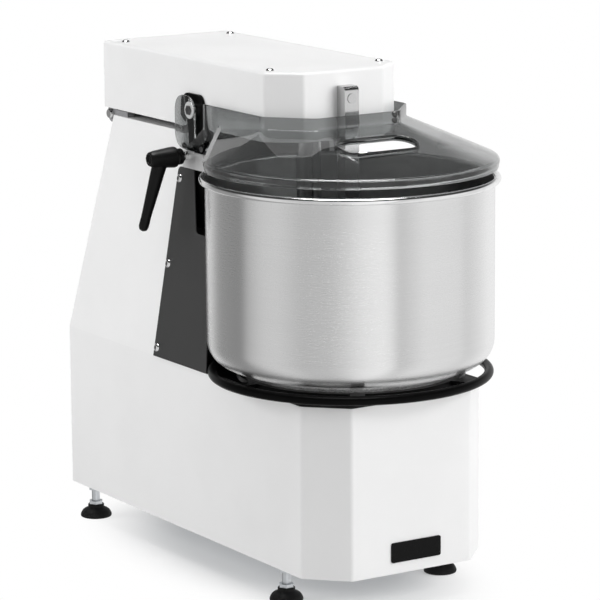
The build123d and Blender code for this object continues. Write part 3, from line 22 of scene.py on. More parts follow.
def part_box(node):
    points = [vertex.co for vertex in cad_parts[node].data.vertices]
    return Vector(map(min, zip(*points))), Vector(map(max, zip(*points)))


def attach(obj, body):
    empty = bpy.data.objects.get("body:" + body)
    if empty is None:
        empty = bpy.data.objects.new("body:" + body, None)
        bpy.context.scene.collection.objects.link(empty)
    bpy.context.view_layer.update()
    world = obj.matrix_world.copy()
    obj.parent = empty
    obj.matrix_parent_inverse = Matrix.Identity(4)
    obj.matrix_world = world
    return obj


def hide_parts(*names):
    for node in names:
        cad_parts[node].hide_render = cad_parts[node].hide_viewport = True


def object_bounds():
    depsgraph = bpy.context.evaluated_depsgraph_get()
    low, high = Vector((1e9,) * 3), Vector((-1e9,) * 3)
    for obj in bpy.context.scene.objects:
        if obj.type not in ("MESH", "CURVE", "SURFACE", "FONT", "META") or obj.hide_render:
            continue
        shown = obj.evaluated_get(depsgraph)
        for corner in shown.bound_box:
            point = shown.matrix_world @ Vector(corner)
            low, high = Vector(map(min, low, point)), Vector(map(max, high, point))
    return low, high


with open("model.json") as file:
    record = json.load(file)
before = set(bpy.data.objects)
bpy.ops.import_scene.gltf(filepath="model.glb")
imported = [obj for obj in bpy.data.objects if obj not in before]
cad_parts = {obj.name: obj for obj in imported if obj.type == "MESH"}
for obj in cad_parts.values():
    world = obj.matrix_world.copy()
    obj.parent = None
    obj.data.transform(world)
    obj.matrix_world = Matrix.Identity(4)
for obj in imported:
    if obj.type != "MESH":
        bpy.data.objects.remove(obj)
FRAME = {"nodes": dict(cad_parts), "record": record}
CAD_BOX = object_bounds()
LOG = logging.getLogger("mixer")
MM = 0.001
FULL_TURN = 2 * math.pi

Point = Sequence[float]
Colour = tuple[float, float, float]


def grey(level: float) -> Colour:
    """A neutral colour of one linear level."""
    return (level, level, level)


def opaque(colour: Colour) -> tuple[float, float, float, float]:
    """A colour with full alpha, as sockets want it."""
    return (*colour, 1.0)


# ---------------------------------------------------------------- shader arithmetic
class Wire:
    """A value that runs between nodes. Arithmetic on it adds Math nodes."""

    def __init__(self, graph: "Graph", socket: bpy.types.NodeSocket) -> None:
        """Keeps the socket and the graph it belongs to."""
        self.graph = graph
        self.socket = socket

    def __add__(self, other: "Value") -> "Wire":
        """Sum."""
        return self.graph.maths("ADD", self, other)

    def __radd__(self, other: "Value") -> "Wire":
        """Sum, with the wire on the right."""
        return self.graph.maths("ADD", other, self)

    def __sub__(self, other: "Value") -> "Wire":
        """Difference."""
        return self.graph.maths("SUBTRACT", self, other)

    def __rsub__(self, other: "Value") -> "Wire":
        """Difference, with the wire on the right."""
        return self.graph.maths("SUBTRACT", other, self)

    def __mul__(self, other: "Value") -> "Wire":
        """Product."""
        return self.graph.maths("MULTIPLY", self, other)

    def __rmul__(self, other: "Value") -> "Wire":
        """Product, with the wire on the right."""
        return self.graph.maths("MULTIPLY", other, self)

    def __truediv__(self, other: "Value") -> "Wire":
        """Quotient."""
        return self.graph.maths("DIVIDE", self, other)

    def __rtruediv__(self, other: "Value") -> "Wire":
        """Quotient, with the wire on the right."""
        return self.graph.maths("DIVIDE", other, self)

    def __neg__(self) -> "Wire":
        """The value with its sign turned."""
        return self.graph.maths("MULTIPLY", self, -1.0)

    def above(self, low: float, high: float) -> "Wire":
        """A smooth step.

        Args:
            low: the value that gives 0.
            high: the value that gives 1.

        Returns:
            The step.
        """
        return self.graph.wire(
            "MapRange",
            {"interpolation_type": "SMOOTHSTEP"},
            {"Value": self, "From Min": low, "From Max": high},
        )


Value = Union[Wire, float]


class Graph:
    """The node tree of one material or of the world."""

    def __init__(self, tree: bpy.types.NodeTree) -> None:
        """Empties the tree."""
        self.tree = tree
        tree.nodes.clear()

    def node(
        self,
        kind: str,
        settings: dict[str, object] | None = None,
        sockets: dict[str | int, object] | None = None,
    ) -> bpy.types.Node:
        """Adds a node of any type.

        Args:
            kind: the node's type, without the word Shader Node in front.
            settings: properties, set first; "stops" holds a ramp's places and colours.
            sockets: input names or numbers, each with a value or a wire.

        Returns:
            The new node.
        """
        made = self.tree.nodes.new("ShaderNode" + kind)
        for name, setting in (settings or {}).items():
            if name == "stops":
                self.fill_ramp(made, setting)
            else:
                setattr(made, name, setting)
        for name, value in (sockets or {}).items():
            if isinstance(value, Wire):
                self.tree.links.new(value.socket, made.inputs[name])
            else:
                made.inputs[name].default_value = value
        return made

    def wire(
        self,
        kind: str,
        settings: dict[str, object] | None = None,
        sockets: dict[str | int, object] | None = None,
        output: str | int = 0,
    ) -> Wire:
        """Adds a node and gives one of its outputs as a wire.

        Args:
            kind: the node's type, as in node.
            settings: the node's properties.
            sockets: the node's inputs.
            output: the output's name or number.

        Returns:
            The output.
        """
        return Wire(self, self.node(kind, settings, sockets).outputs[output])

    @staticmethod
    def fill_ramp(ramp: bpy.types.Node, stops: Sequence[tuple[float, Colour]]) -> None:
        """Gives a colour ramp its stops.

        Args:
            ramp: the ramp node.
            stops: places from 0 to 1, each with its colour.
        """
        elements = ramp.color_ramp.elements
        while len(elements) < len(stops):
            elements.new(1.0)
        for element, (place, colour) in zip(elements, stops):
            element.position = place
            element.color = opaque(colour)

    def maths(self, operation: str, first: Value, second: Value = 0.0) -> Wire:
        """One Math node on two numbers.

        Args:
            operation: the node's operation.
            first: the first number or wire.
            second: the second number or wire.

        Returns:
            The result.
        """
        return self.wire("Math", {"operation": operation}, {0: first, 1: second})

    def place(self) -> Wire:
        """The place on the surface, in metres, in the machine's own frame."""
        return self.wire("TexCoord", output="Object")

    def parts(self, vector: Wire) -> tuple[Wire, Wire, Wire]:
        """The three parts of a vector.

        Args:
            vector: the vector.

        Returns:
            Its X, Y and Z.
        """
        split = self.node("SeparateXYZ", sockets={0: vector})
        return Wire(self, split.outputs[0]), Wire(self, split.outputs[1]), Wire(self, split.outputs[2])

    def joined(self, x: Value, y: Value, z: Value) -> Wire:
        """A vector made of three numbers."""
        return self.wire("CombineXYZ", sockets={0: x, 1: y, 2: z})

    def noise(self, vector: Wire, scale: float, detail: float = 2.0, roughness: float = 0.5) -> Wire:
        """Noise from 0 to 1.

        Args:
            vector: where the noise is read.
            scale: features per metre.
            detail: octaves.
            roughness: how much the finer octaves count.

        Returns:
            The noise.
        """
        sockets = {"Vector": vector, "Scale": scale, "Detail": detail, "Roughness": roughness}
        return self.wire("TexNoise", sockets=sockets)

    def blend(self, share: Value, low: "Colour | Wire", high: "Colour | Wire") -> Wire:
        """A colour between two colours.

        Args:
            share: 0 for the first, 1 for the second.
            low: the first colour.
            high: the second colour.

        Returns:
            The blended colour.
        """
        ends = [end if isinstance(end, Wire) else opaque(end) for end in (low, high)]
        return self.wire("Mix", {"data_type": "RGBA"}, {0: share, 6: ends[0], 7: ends[1]}, output=2)

    def relief(self, height: Wire, depth: float, strength: float = 1.0) -> Wire:
        """A surface normal for a height between 0 and 1.

        Args:
            height: the height.
            depth: metres between 0 and 1.
            strength: how much of it shows.

        Returns:
            The normal.
        """
        return self.wire("Bump", sockets={"Strength": strength, "Distance": depth, "Height": height})


# ---------------------------------------------------------------- finishes
class Grain(Enum):
    """Which way a brushed surface was brushed."""

    AROUND = "around the bowl's axis"
    UPWARD = "along Z"
    LENGTHWAYS = "along Y"
    SIDEWAYS = "along X"


@dataclass(frozen=True)
class Finish:
    """A named surface finish. Each kind fills the graph in its own way."""

    name: str

    def material(self) -> bpy.types.Material:
        """The finish as a material, made once.

        Returns:
            The material.
        """
        found = bpy.data.materials.get("finish_" + self.name)
        if found:
            return found
        made = bpy.data.materials.new("finish_" + self.name)
        made.use_nodes = True
        graph = Graph(made.node_tree)
        graph.node("OutputMaterial", sockets={"Surface": self.surface(graph)})
        return made

    def surface(self, graph: Graph) -> Wire:
        """Builds the shader.

        Args:
            graph: the empty graph of the material.

        Returns:
            The shader's output.
        """
        raise NotImplementedError


@dataclass(frozen=True)
class PowderCoat(Finish):
    """Baked powder paint: fine orange peel, slightly uneven gloss, a trace of dust in faint patches."""

    colour: Colour = grey(0.84)
    gloss_roughness: float = 0.34
    peel_per_metre: float = 620.0
    peel_depth: float = 0.00003
    soil: float = 0.03
    sheen: float = 0.5

    def surface(self, graph: Graph) -> Wire:
        """Paint with orange peel and faint handling marks.

        Args:
            graph: the empty graph of the material.

        Returns:
            The shader's output.
        """
        place = graph.place()
        peel = graph.noise(place, self.peel_per_metre, 2.0)
        clouds = graph.noise(place, 7.0, 3.0)
        specks = graph.noise(place, 210.0, 4.0, 0.6).above(0.66, 0.74)
        worn = tuple(part * (1 - self.soil) for part in self.colour)
        speck = tuple(part * 0.9 for part in self.colour)
        tone = graph.blend(clouds.above(0.35, 0.75), self.colour, worn)
        tone = self.masked(graph, graph.blend(specks * 0.35, tone, speck))
        sockets = {
            "Base Color": tone,
            "Roughness": self.gloss_roughness + (clouds - 0.5) * 0.12 + peel * 0.05,
            "Specular IOR Level": self.sheen,
            "Normal": graph.relief(peel, self.peel_depth, 0.35),
        }
        return graph.wire("BsdfPrincipled", sockets=sockets)

    def masked(self, graph: Graph, tone: Wire) -> Wire:
        """The paint's tone; other kinds of coat change it in places."""
        return tone


@dataclass(frozen=True)
class FrontFieldCoat(PowderCoat):
    """White coat with a dark field on the column's front, between the side guards."""

    field_colour: Colour = grey(0.03)
    field_y: tuple[float, float] = (66 * MM, 96 * MM)
    field_z: float = 310 * MM
    field_edge: float = 1 * MM

    def masked(self, graph: Graph, tone: Wire) -> Wire:
        """Dark on the upright front face behind the bowl, white elsewhere.

        Args:
            graph: the material's graph.
            tone: the white paint's tone.

        Returns:
            The tone with the dark field in it.
        """
        _, y, z = graph.parts(graph.place())
        _, facing, _ = graph.parts(graph.wire("NewGeometry", output="Normal"))
        near, far = self.field_y
        # Darkens the column's upright front face behind the bowl, between the side guards.
        field = y.above(near, near + self.field_edge) * z.above(self.field_z, self.field_z + self.field_edge)
        field = field * (far - y).above(0.0, self.field_edge) * (-facing).above(0.8, 0.9)
        return graph.blend(field, tone, self.field_colour)


@dataclass(frozen=True)
class BrushedSteel(Finish):
    """Stainless steel with fine scratches in one direction."""

    grain: Grain = Grain.UPWARD
    colour: Colour = grey(0.66)
    brush_roughness: float = 0.27
    anisotropy: float = 0.6
    scratch_per_metre: float = 2600.0
    stretch: float = 60.0
    scratch_depth: float = 0.000012

    def run(self, graph: Graph) -> Wire:
        """Coordinates stretched along the brushing.

        Args:
            graph: the material's graph.

        Returns:
            The coordinates.
        """
        x, y, z = graph.parts(graph.place())
        short = 1.0 / self.stretch
        if self.grain is Grain.AROUND:
            low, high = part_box("bowl")
            middle = (low + high) / 2
            radius = (high.x - low.x) / 2
            turn = graph.maths("ARCTAN2", x - middle.x, middle.y - y) * radius
            out = graph.maths("SQRT", x * x + (y - middle.y) * (y - middle.y))
            return graph.joined(turn * short, out, z)
        if self.grain is Grain.LENGTHWAYS:
            return graph.joined(x, y * short, z)
        if self.grain is Grain.SIDEWAYS:
            return graph.joined(x * short, y, z)
        return graph.joined(x, y, z * short)

    def surface(self, graph: Graph) -> Wire:
        """Metal with scratches, broad tone bands and faint smears.

        Args:
            graph: the empty graph of the material.

        Returns:
            The shader's output.
        """
        along = self.run(graph)
        scratch = graph.noise(along, self.scratch_per_metre, 3.0, 0.65)
        band = graph.noise(along, 0.12 * self.scratch_per_metre, 3.0, 0.6)
        smear = graph.noise(graph.place(), 9.0, 3.0)
        dark = tuple(part * 0.9 for part in self.colour)
        tone = graph.blend(scratch * 0.5 + band * 0.5, dark, self.colour)
        sockets = {
            "Base Color": tone,
            "Metallic": 1.0,
            "Roughness": self.brush_roughness + (scratch - 0.5) * 0.1 + (smear - 0.5) * 0.06,
            "Anisotropic": self.anisotropy,
            "Anisotropic Rotation": 0.25 if self.grain is Grain.AROUND else 0.0,
            "Normal": graph.relief(scratch * 0.7 + band * 0.3, self.scratch_depth, 0.5),
        }
        return graph.wire("BsdfPrincipled", sockets=sockets)


@dataclass(frozen=True)
class BrightMetal(Finish):
    """Turned, ground, plated or oiled metal without a brushing direction."""

    colour: Colour = grey(0.72)
    shine_roughness: float = 0.16
    fleck_per_metre: float = 900.0
    tarnish: float = 0.2
    oil: float = 0.0
    bareness: float = 1.0

    def surface(self, graph: Graph) -> Wire:
        """Metal with fine flecks and a little tarnish.

        Args:
            graph: the empty graph of the material.

        Returns:
            The shader's output.
        """
        place = graph.place()
        fleck = graph.noise(place, self.fleck_per_metre, 3.0, 0.7)
        stain = graph.noise(place, 45.0, 4.0, 0.6)
        dull = tuple(part * (1 - self.tarnish) for part in self.colour)
        sockets = {
            "Base Color": graph.blend(stain.above(0.4, 0.75), self.colour, dull),
            "Metallic": self.bareness,
            "Roughness": self.shine_roughness + stain.above(0.35, 0.8) * 0.14 + (fleck - 0.5) * 0.06,
            "Coat Weight": self.oil,
            "Normal": graph.relief(fleck, 0.00001, 0.4),
        }
        return graph.wire("BsdfPrincipled", sockets=sockets)


@dataclass(frozen=True)
class Moulded(Finish):
    """Moulded plastic or rubber with a fine texture."""

    colour: Colour = grey(0.02)
    skin_roughness: float = 0.42
    texture_per_metre: float = 1500.0
    texture_depth: float = 0.00003
    bloom: float = 0.5
    sheen: float = 0.3

    def surface(self, graph: Graph) -> Wire:
        """Plastic with spark texture, scuffs and a pale bloom.

        Args:
            graph: the empty graph of the material.

        Returns:
            The shader's output.
        """
        place = graph.place()
        grain = {"Vector": place, "Scale": self.texture_per_metre}
        spark = graph.wire("TexVoronoi", {"feature": "SMOOTH_F1"}, grain)
        scuff = graph.noise(place, 60.0, 5.0, 0.7)
        pale = tuple(min(1.0, part * (1 + self.bloom) + 0.01 * self.bloom) for part in self.colour)
        sockets = {
            "Base Color": graph.blend(scuff.above(0.45, 0.8), self.colour, pale),
            "Roughness": self.skin_roughness + (scuff - 0.5) * 0.2,
            "Specular IOR Level": self.sheen,
            "Normal": graph.relief(spark, self.texture_depth, 0.5),
        }
        return graph.wire("BsdfPrincipled", sockets=sockets)


@dataclass(frozen=True)
class Casting(Finish):
    """Cast or painted housing metal: lumpy skin under satin paint."""

    colour: Colour = (0.2, 0.21, 0.22)
    paint_roughness: float = 0.5
    lump_per_metre: float = 330.0
    lump_depth: float = 0.0002

    def surface(self, graph: Graph) -> Wire:
        """Painted casting with sand texture and rubbed spots.

        Args:
            graph: the empty graph of the material.

        Returns:
            The shader's output.
        """
        place = graph.place()
        lumps = graph.noise(place, self.lump_per_metre, 5.0, 0.6)
        rubbed = graph.noise(place, 35.0, 4.0).above(0.55, 0.75)
        pale = tuple(part * 1.25 + 0.01 for part in self.colour)
        sockets = {
            "Base Color": graph.blend(rubbed * 0.6, self.colour, pale),
            "Roughness": self.paint_roughness - rubbed * 0.12,
            "Normal": graph.relief(lumps, self.lump_depth, 0.5),
        }
        return graph.wire("BsdfPrincipled", sockets=sockets)


@dataclass(frozen=True)
class SmokedClear(Finish):
    """Clear polycarbonate with a smoke tint. Lamps shine through it."""

    tint: Colour = (0.42, 0.43, 0.43)
    lamp_tint: Colour = (0.62, 0.63, 0.63)
    polish_roughness: float = 0.02
    bend: float = 1.49

    def surface(self, graph: Graph) -> Wire:
        """Tinted glass-like plastic with faint moulding flow and rub marks.

        Args:
            graph: the empty graph of the material.

        Returns:
            The shader's output.
        """
        place = graph.place()
        flow = graph.noise(place, 22.0, 2.0)
        rub = graph.noise(place, 420.0, 4.0, 0.7)
        deeper = tuple(0.93 * part for part in self.tint)
        sockets = {
            "Base Color": graph.blend(flow.above(0.3, 0.7), self.tint, deeper),
            "Roughness": self.polish_roughness + rub.above(0.6, 0.85) * 0.05,
            "Transmission Weight": 1.0,
            "IOR": self.bend,
            "Normal": graph.relief(flow, 0.00035, 0.35),
        }
        clear = graph.wire("BsdfPrincipled", sockets=sockets)
        passing = graph.wire("BsdfTransparent", sockets={0: opaque(self.lamp_tint)})
        lamp = graph.wire("LightPath", output="Is Shadow Ray")
        return graph.wire("MixShader", sockets={0: lamp, 1: clear, 2: passing})


class Finishes(Enum):
    """Every finish on the machine."""

    WHITE_COAT = PowderCoat("white_powder_coat")
    HOUSING_COAT = FrontFieldCoat("housing_powder_coat")
    # Pale opaque tone for the clear lid's cut edges: a painted highlight.
    EDGE_HIGHLIGHT = Moulded("polished_edge_painted_highlight", grey(0.34), 0.2, 900.0, 0.00001, 0.1, 0.5)
    GREY_COAT = PowderCoat("grey_guard", grey(0.036), 0.38, 700.0, 0.00004, 0.1, 0.35)
    BLACK_PAINT = PowderCoat("black_paint", grey(0.0022), 0.3, 480.0, 0.00003, 0.1, 0.05)
    MOTOR_ENAMEL = PowderCoat("motor_enamel", (0.05, 0.08, 0.13), 0.3, 300.0, 0.00005, 0.1)
    PRIMED_PLATE = PowderCoat("primed_plate", (0.3, 0.3, 0.31), 0.45, 500.0, 0.00004, 0.15)
    BOWL_STEEL = BrushedSteel("bowl_steel", Grain.AROUND, grey(0.76), 0.28, 0.9)
    # Inside of the bowl: the bowl's own steel made darker, as painted shade inside the covered bowl.
    BOWL_INSIDE_SHADED = BrushedSteel("bowl_inside_painted_shade", Grain.AROUND, grey(0.34), 0.3, 0.9)
    BAR_STEEL = BrushedSteel("bar_steel", Grain.UPWARD, grey(0.62), 0.24, 0.5, 3200.0, 40.0)
    STRAP_STEEL = BrushedSteel("strap_steel", Grain.SIDEWAYS, grey(0.6), 0.22, 0.4, 3200.0, 40.0)
    SATIN_STEEL = BrightMetal("satin_steel", grey(0.8), 0.36, 1400.0, 0.08, 0.0, 0.6)
    ZINC = BrightMetal("zinc", (0.58, 0.6, 0.62), 0.32, 500.0, 0.25)
    RIM_STEEL = BrightMetal("rim_steel", grey(0.78), 0.1, 1500.0, 0.06)
    SCREW_STEEL = BrightMetal("screw_steel", grey(0.7), 0.14, 1500.0, 0.15)
    DARK_BOLT = BrightMetal("dark_bolt", grey(0.16), 0.34, 1200.0, 0.4)
    GROUND_STEEL = BrightMetal("ground_steel", grey(0.66), 0.12, 1800.0, 0.12)
    CHAIN_STEEL = BrightMetal("chain_steel", (0.22, 0.205, 0.19), 0.34, 900.0, 0.5, 0.6)
    CASTING = Casting("casting")
    BLACK_PLASTIC = Moulded("black_plastic", grey(0.0035), 0.4, 1500.0, 0.00003, 0.2, 0.17)
    BLACK_GLOSS = Moulded("black_gloss", grey(0.003), 0.16, 900.0, 0.00001, 0.1, 0.1)
    RUBBER = Moulded("rubber", grey(0.006), 0.6, 1100.0, 0.00006, 0.5, 0.2)
    GREEN_BUTTON = Moulded("green_button", (0.02, 0.26, 0.06), 0.22, 900.0, 0.00001, 0.1)
    RED_BUTTON = Moulded("red_button", (0.45, 0.015, 0.012), 0.22, 900.0, 0.00001, 0.1)
    SMOKED = SmokedClear("smoked_clear")

    def material(self) -> bpy.types.Material:
        """The finish's material."""
        return self.value.material()


SLOT_FINISH = {
    "white_powder_coat": Finishes.WHITE_COAT,
    "zinc_sheet": Finishes.ZINC,
    "black_plastic": Finishes.BLACK_PLASTIC,
    "grey_guard": Finishes.GREY_COAT,
    "stainless": Finishes.BAR_STEEL,
    "black_rubber": Finishes.RUBBER,
    "black_gloss": Finishes.BLACK_GLOSS,
    "steel_plate": Finishes.PRIMED_PLATE,
    "cast_housing": Finishes.CASTING,
    "bearing_steel": Finishes.GROUND_STEEL,
    "motor_paint": Finishes.MOTOR_ENAMEL,
    "chain_steel": Finishes.CHAIN_STEEL,
    "black_paint": Finishes.BLACK_PAINT,
    "bowl_stainless": Finishes.BOWL_STEEL,
    "dark_bolt": Finishes.DARK_BOLT,
    "smoked_clear": Finishes.SMOKED,
    "green_button": Finishes.GREEN_BUTTON,
    "red_button": Finishes.RED_BUTTON,
}
NODE_FINISH = {
    "body_shell": Finishes.HOUSING_COAT,
    "housing_screws": Finishes.SCREW_STEEL,
    "cover_screws": Finishes.SCREW_STEEL,
    "breaker_screw": Finishes.STRAP_STEEL,
    "hinge_pin": Finishes.GROUND_STEEL,
    "clamp_straps": Finishes.SATIN_STEEL,
    "clamp_studs": Finishes.GROUND_STEEL,
    "spiral_shaft": Finishes.GROUND_STEEL,
    "spiral_hook": Finishes.GROUND_STEEL,
}


# ---------------------------------------------------------------- mesh building
def arc(centre: Point, radius: float, start: float, end: float, steps: int) -> list[Vector]:
    """Points on an arc in a plane.

    Args:
        centre: the arc's centre.
        radius: the arc's radius.
        start: first angle, in degrees.
        end: last angle, in degrees.
        steps: how many stretches the arc has.

    Returns:
        The points, ends included.
    """
    turns = [math.radians(start + (end - start) * step / steps) for step in range(steps + 1)]
    return [Vector((centre[0] + radius * math.cos(t), centre[1] + radius * math.sin(t))) for t in turns]


def curve_through(before: Vector, corner: Vector, after: Vector, size: float, steps: int) -> list[Vector]:
    """A corner replaced by a smooth curve.

    Args:
        before: a point on the way in.
        corner: the sharp corner.
        after: a point on the way out.
        size: how far from the corner the curve starts and ends.
        steps: how many stretches the curve has.

    Returns:
        The curve's points.
    """
    start = corner + (before - corner).normalized() * size
    end = corner + (after - corner).normalized() * size
    curve = []
    for step in range(steps + 1):
        t = step / steps
        curve.append(start * (1 - t) ** 2 + corner * 2 * t * (1 - t) + end * t**2)
    return curve


def rounded(corners: Sequence[Point], radii: Sequence[float], steps: int = 8) -> list[Vector]:
    """A closed outline with rounded corners.

    Args:
        corners: the sharp corners, in order.
        radii: how far each corner's curve reaches; 0 keeps it sharp.
        steps: stretches in each curve.

    Returns:
        The outline's points.
    """
    points = [Vector(corner) for corner in corners]
    outline = []
    for index, (corner, size) in enumerate(zip(points, radii)):
        before, after = points[index - 1], points[(index + 1) % len(points)]
        outline += curve_through(before, corner, after, size, steps) if size > 0 else [corner]
    return outline


def slot_outline(length: float, width: float, steps: int = 20) -> list[Vector]:
    """An outline with straight sides and half-round ends, long along X.

    Args:
        length: over the round ends.
        width: across the straight sides.
        steps: stretches in each round end.

    Returns:
        The outline's points.
    """
    half = (length - width) / 2
    right = arc((half, 0), width / 2, -90, 90, steps)
    return right + arc((-half, 0), width / 2, 90, 270, steps)


class Skin:
    """A mesh built from rings of points, as one piece."""

    def __init__(self) -> None:
        """Starts an empty mesh."""
        self.mesh = bmesh.new()

    def ring(self, points: Iterable[Point]) -> list[bmesh.types.BMVert]:
        """Adds a row of points."""
        return [self.mesh.verts.new(point) for point in points]

    def bridge(self, low: list, high: list, closed: bool = True) -> None:
        """Joins two rows with faces.

        Args:
            low: the first row.
            high: the second row, with as many points.
            closed: whether the rows close on themselves.
        """
        count = len(low) if closed else len(low) - 1
        for index in range(count):
            after = (index + 1) % len(low)
            self.mesh.faces.new((low[index], low[after], high[after], high[index]))

    def cap(self, row: list, flip: bool = False) -> None:
        """Closes a row with one face."""
        self.mesh.faces.new(list(reversed(row)) if flip else row)

    def lathe(self, profile: Sequence[Point], turns: int, closed: bool = False) -> None:
        """Turns a profile of (radius, height) round Z.

        Args:
            profile: the profile's points, from one end to the other.
            turns: stretches in a full turn.
            closed: whether the profile closes on itself.
        """
        rows = []
        for radius, height in profile:
            angles = [FULL_TURN * step / turns for step in range(turns)]
            rows.append(self.ring((radius * math.cos(a), radius * math.sin(a), height) for a in angles))
        for low, high in zip(rows, rows[1:] + rows[:1] if closed else rows[1:]):
            self.bridge(low, high)
        if not closed:
            self.cap(rows[0], flip=True)
            self.cap(rows[-1])

    def sweep(self, rows: Sequence[Sequence[Point]]) -> None:
        """Joins rows of points one after the other and closes both ends.

        Args:
            rows: the rows, each with as many points.
        """
        made = [self.ring(row) for row in rows]
        for low, high in zip(made, made[1:]):
            self.bridge(low, high)
        self.cap(made[0], flip=True)
        self.cap(made[-1])

    def plate(self, outline: Sequence[Point], low: float, high: float) -> None:
        """Stands an outline in X and Y up between two heights."""
        self.sweep([[(x, y, height) for x, y in outline] for height in (low, high)])

    def placed(self, place: Matrix, form: Callable[..., None], *sizes: object) -> None:
        """Adds one form and moves it to its place.

        Args:
            place: where the form goes.
            form: this skin's lathe or sweep.
            sizes: what the form asks for.
        """
        before = set(self.mesh.verts)
        form(*sizes)
        fresh = [vert for vert in self.mesh.verts if vert not in before]
        bmesh.ops.transform(self.mesh, matrix=place, verts=fresh)

    def made(self, name: str, finish: Finishes, smooth: float = 32.0) -> bpy.types.Object:
        """Ends the mesh and puts it in the scene.

        Args:
            name: the piece's name.
            finish: its finish.
            smooth: edges sharper than this many degrees stay sharp.

        Returns:
            The new object.
        """
        bmesh.ops.remove_doubles(self.mesh, verts=self.mesh.verts, dist=1e-7)
        bmesh.ops.recalc_face_normals(self.mesh, faces=self.mesh.faces)
        data = bpy.data.meshes.new(name)
        self.mesh.to_mesh(data)
        self.mesh.free()
        piece = bpy.data.objects.new(name, data)
        bpy.context.scene.collection.objects.link(piece)
        piece.data.materials.append(finish.material())
        shade(piece, smooth)
        return piece


def shade(piece: bpy.types.Object, smooth: float) -> None:
    """Smooth shading, with edges sharper than the given degrees kept sharp."""
    piece.data.shade_smooth()
    piece.data.set_sharp_from_angle(angle=math.radians(smooth))


def settle(piece: bpy.types.Object, smooth: float = 32.0) -> bpy.types.Object:
    """Makes the piece's modifiers part of its mesh.

    Args:
        piece: an object with modifiers.
        smooth: edges sharper than this many degrees stay sharp.

    Returns:
        The same object.
    """
    ready = piece.evaluated_get(bpy.context.evaluated_depsgraph_get())
    data = bpy.data.meshes.new_from_object(ready)
    piece.modifiers.clear()
    piece.data = data
    shade(piece, smooth)
    return piece


def combine(piece: bpy.types.Object, other: bpy.types.Object, operation: str) -> None:
    """Joins the other piece to this one or cuts it out, and removes the other piece.

    Args:
        piece: the piece that is kept.
        other: the piece that is used up.
        operation: "UNION" or "DIFFERENCE".
    """
    cut = piece.modifiers.new(operation, "BOOLEAN")
    cut.operation = operation
    cut.object = other
    cut.solver = "EXACT"
    bpy.context.view_layer.update()
    settle(piece)
    bpy.data.objects.remove(other)


def finished(piece: bpy.types.Object, body: str, slot: str, *nodes: str) -> bpy.types.Object:
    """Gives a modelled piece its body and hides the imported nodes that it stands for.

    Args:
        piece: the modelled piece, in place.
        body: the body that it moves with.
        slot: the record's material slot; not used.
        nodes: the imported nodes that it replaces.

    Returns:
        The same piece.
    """
    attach(piece, body)
    if nodes:
        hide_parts(*nodes)
    LOG.info("%s on %s", piece.name, body)
    return piece


def turned_to(axis: Vector, place: Point) -> Matrix:
    """Takes Z to an axis and the origin to a place."""
    return Matrix.Translation(place) @ axis.to_track_quat("Z", "Y").to_matrix().to_4x4()


# ---------------------------------------------------------------- studio
@dataclass
class Lamp:
    """One soft lamp, placed by where it stands from the machine's middle."""

    name: str
    azimuth: float
    elevation: float
    away: float
    side: float
    watts: float


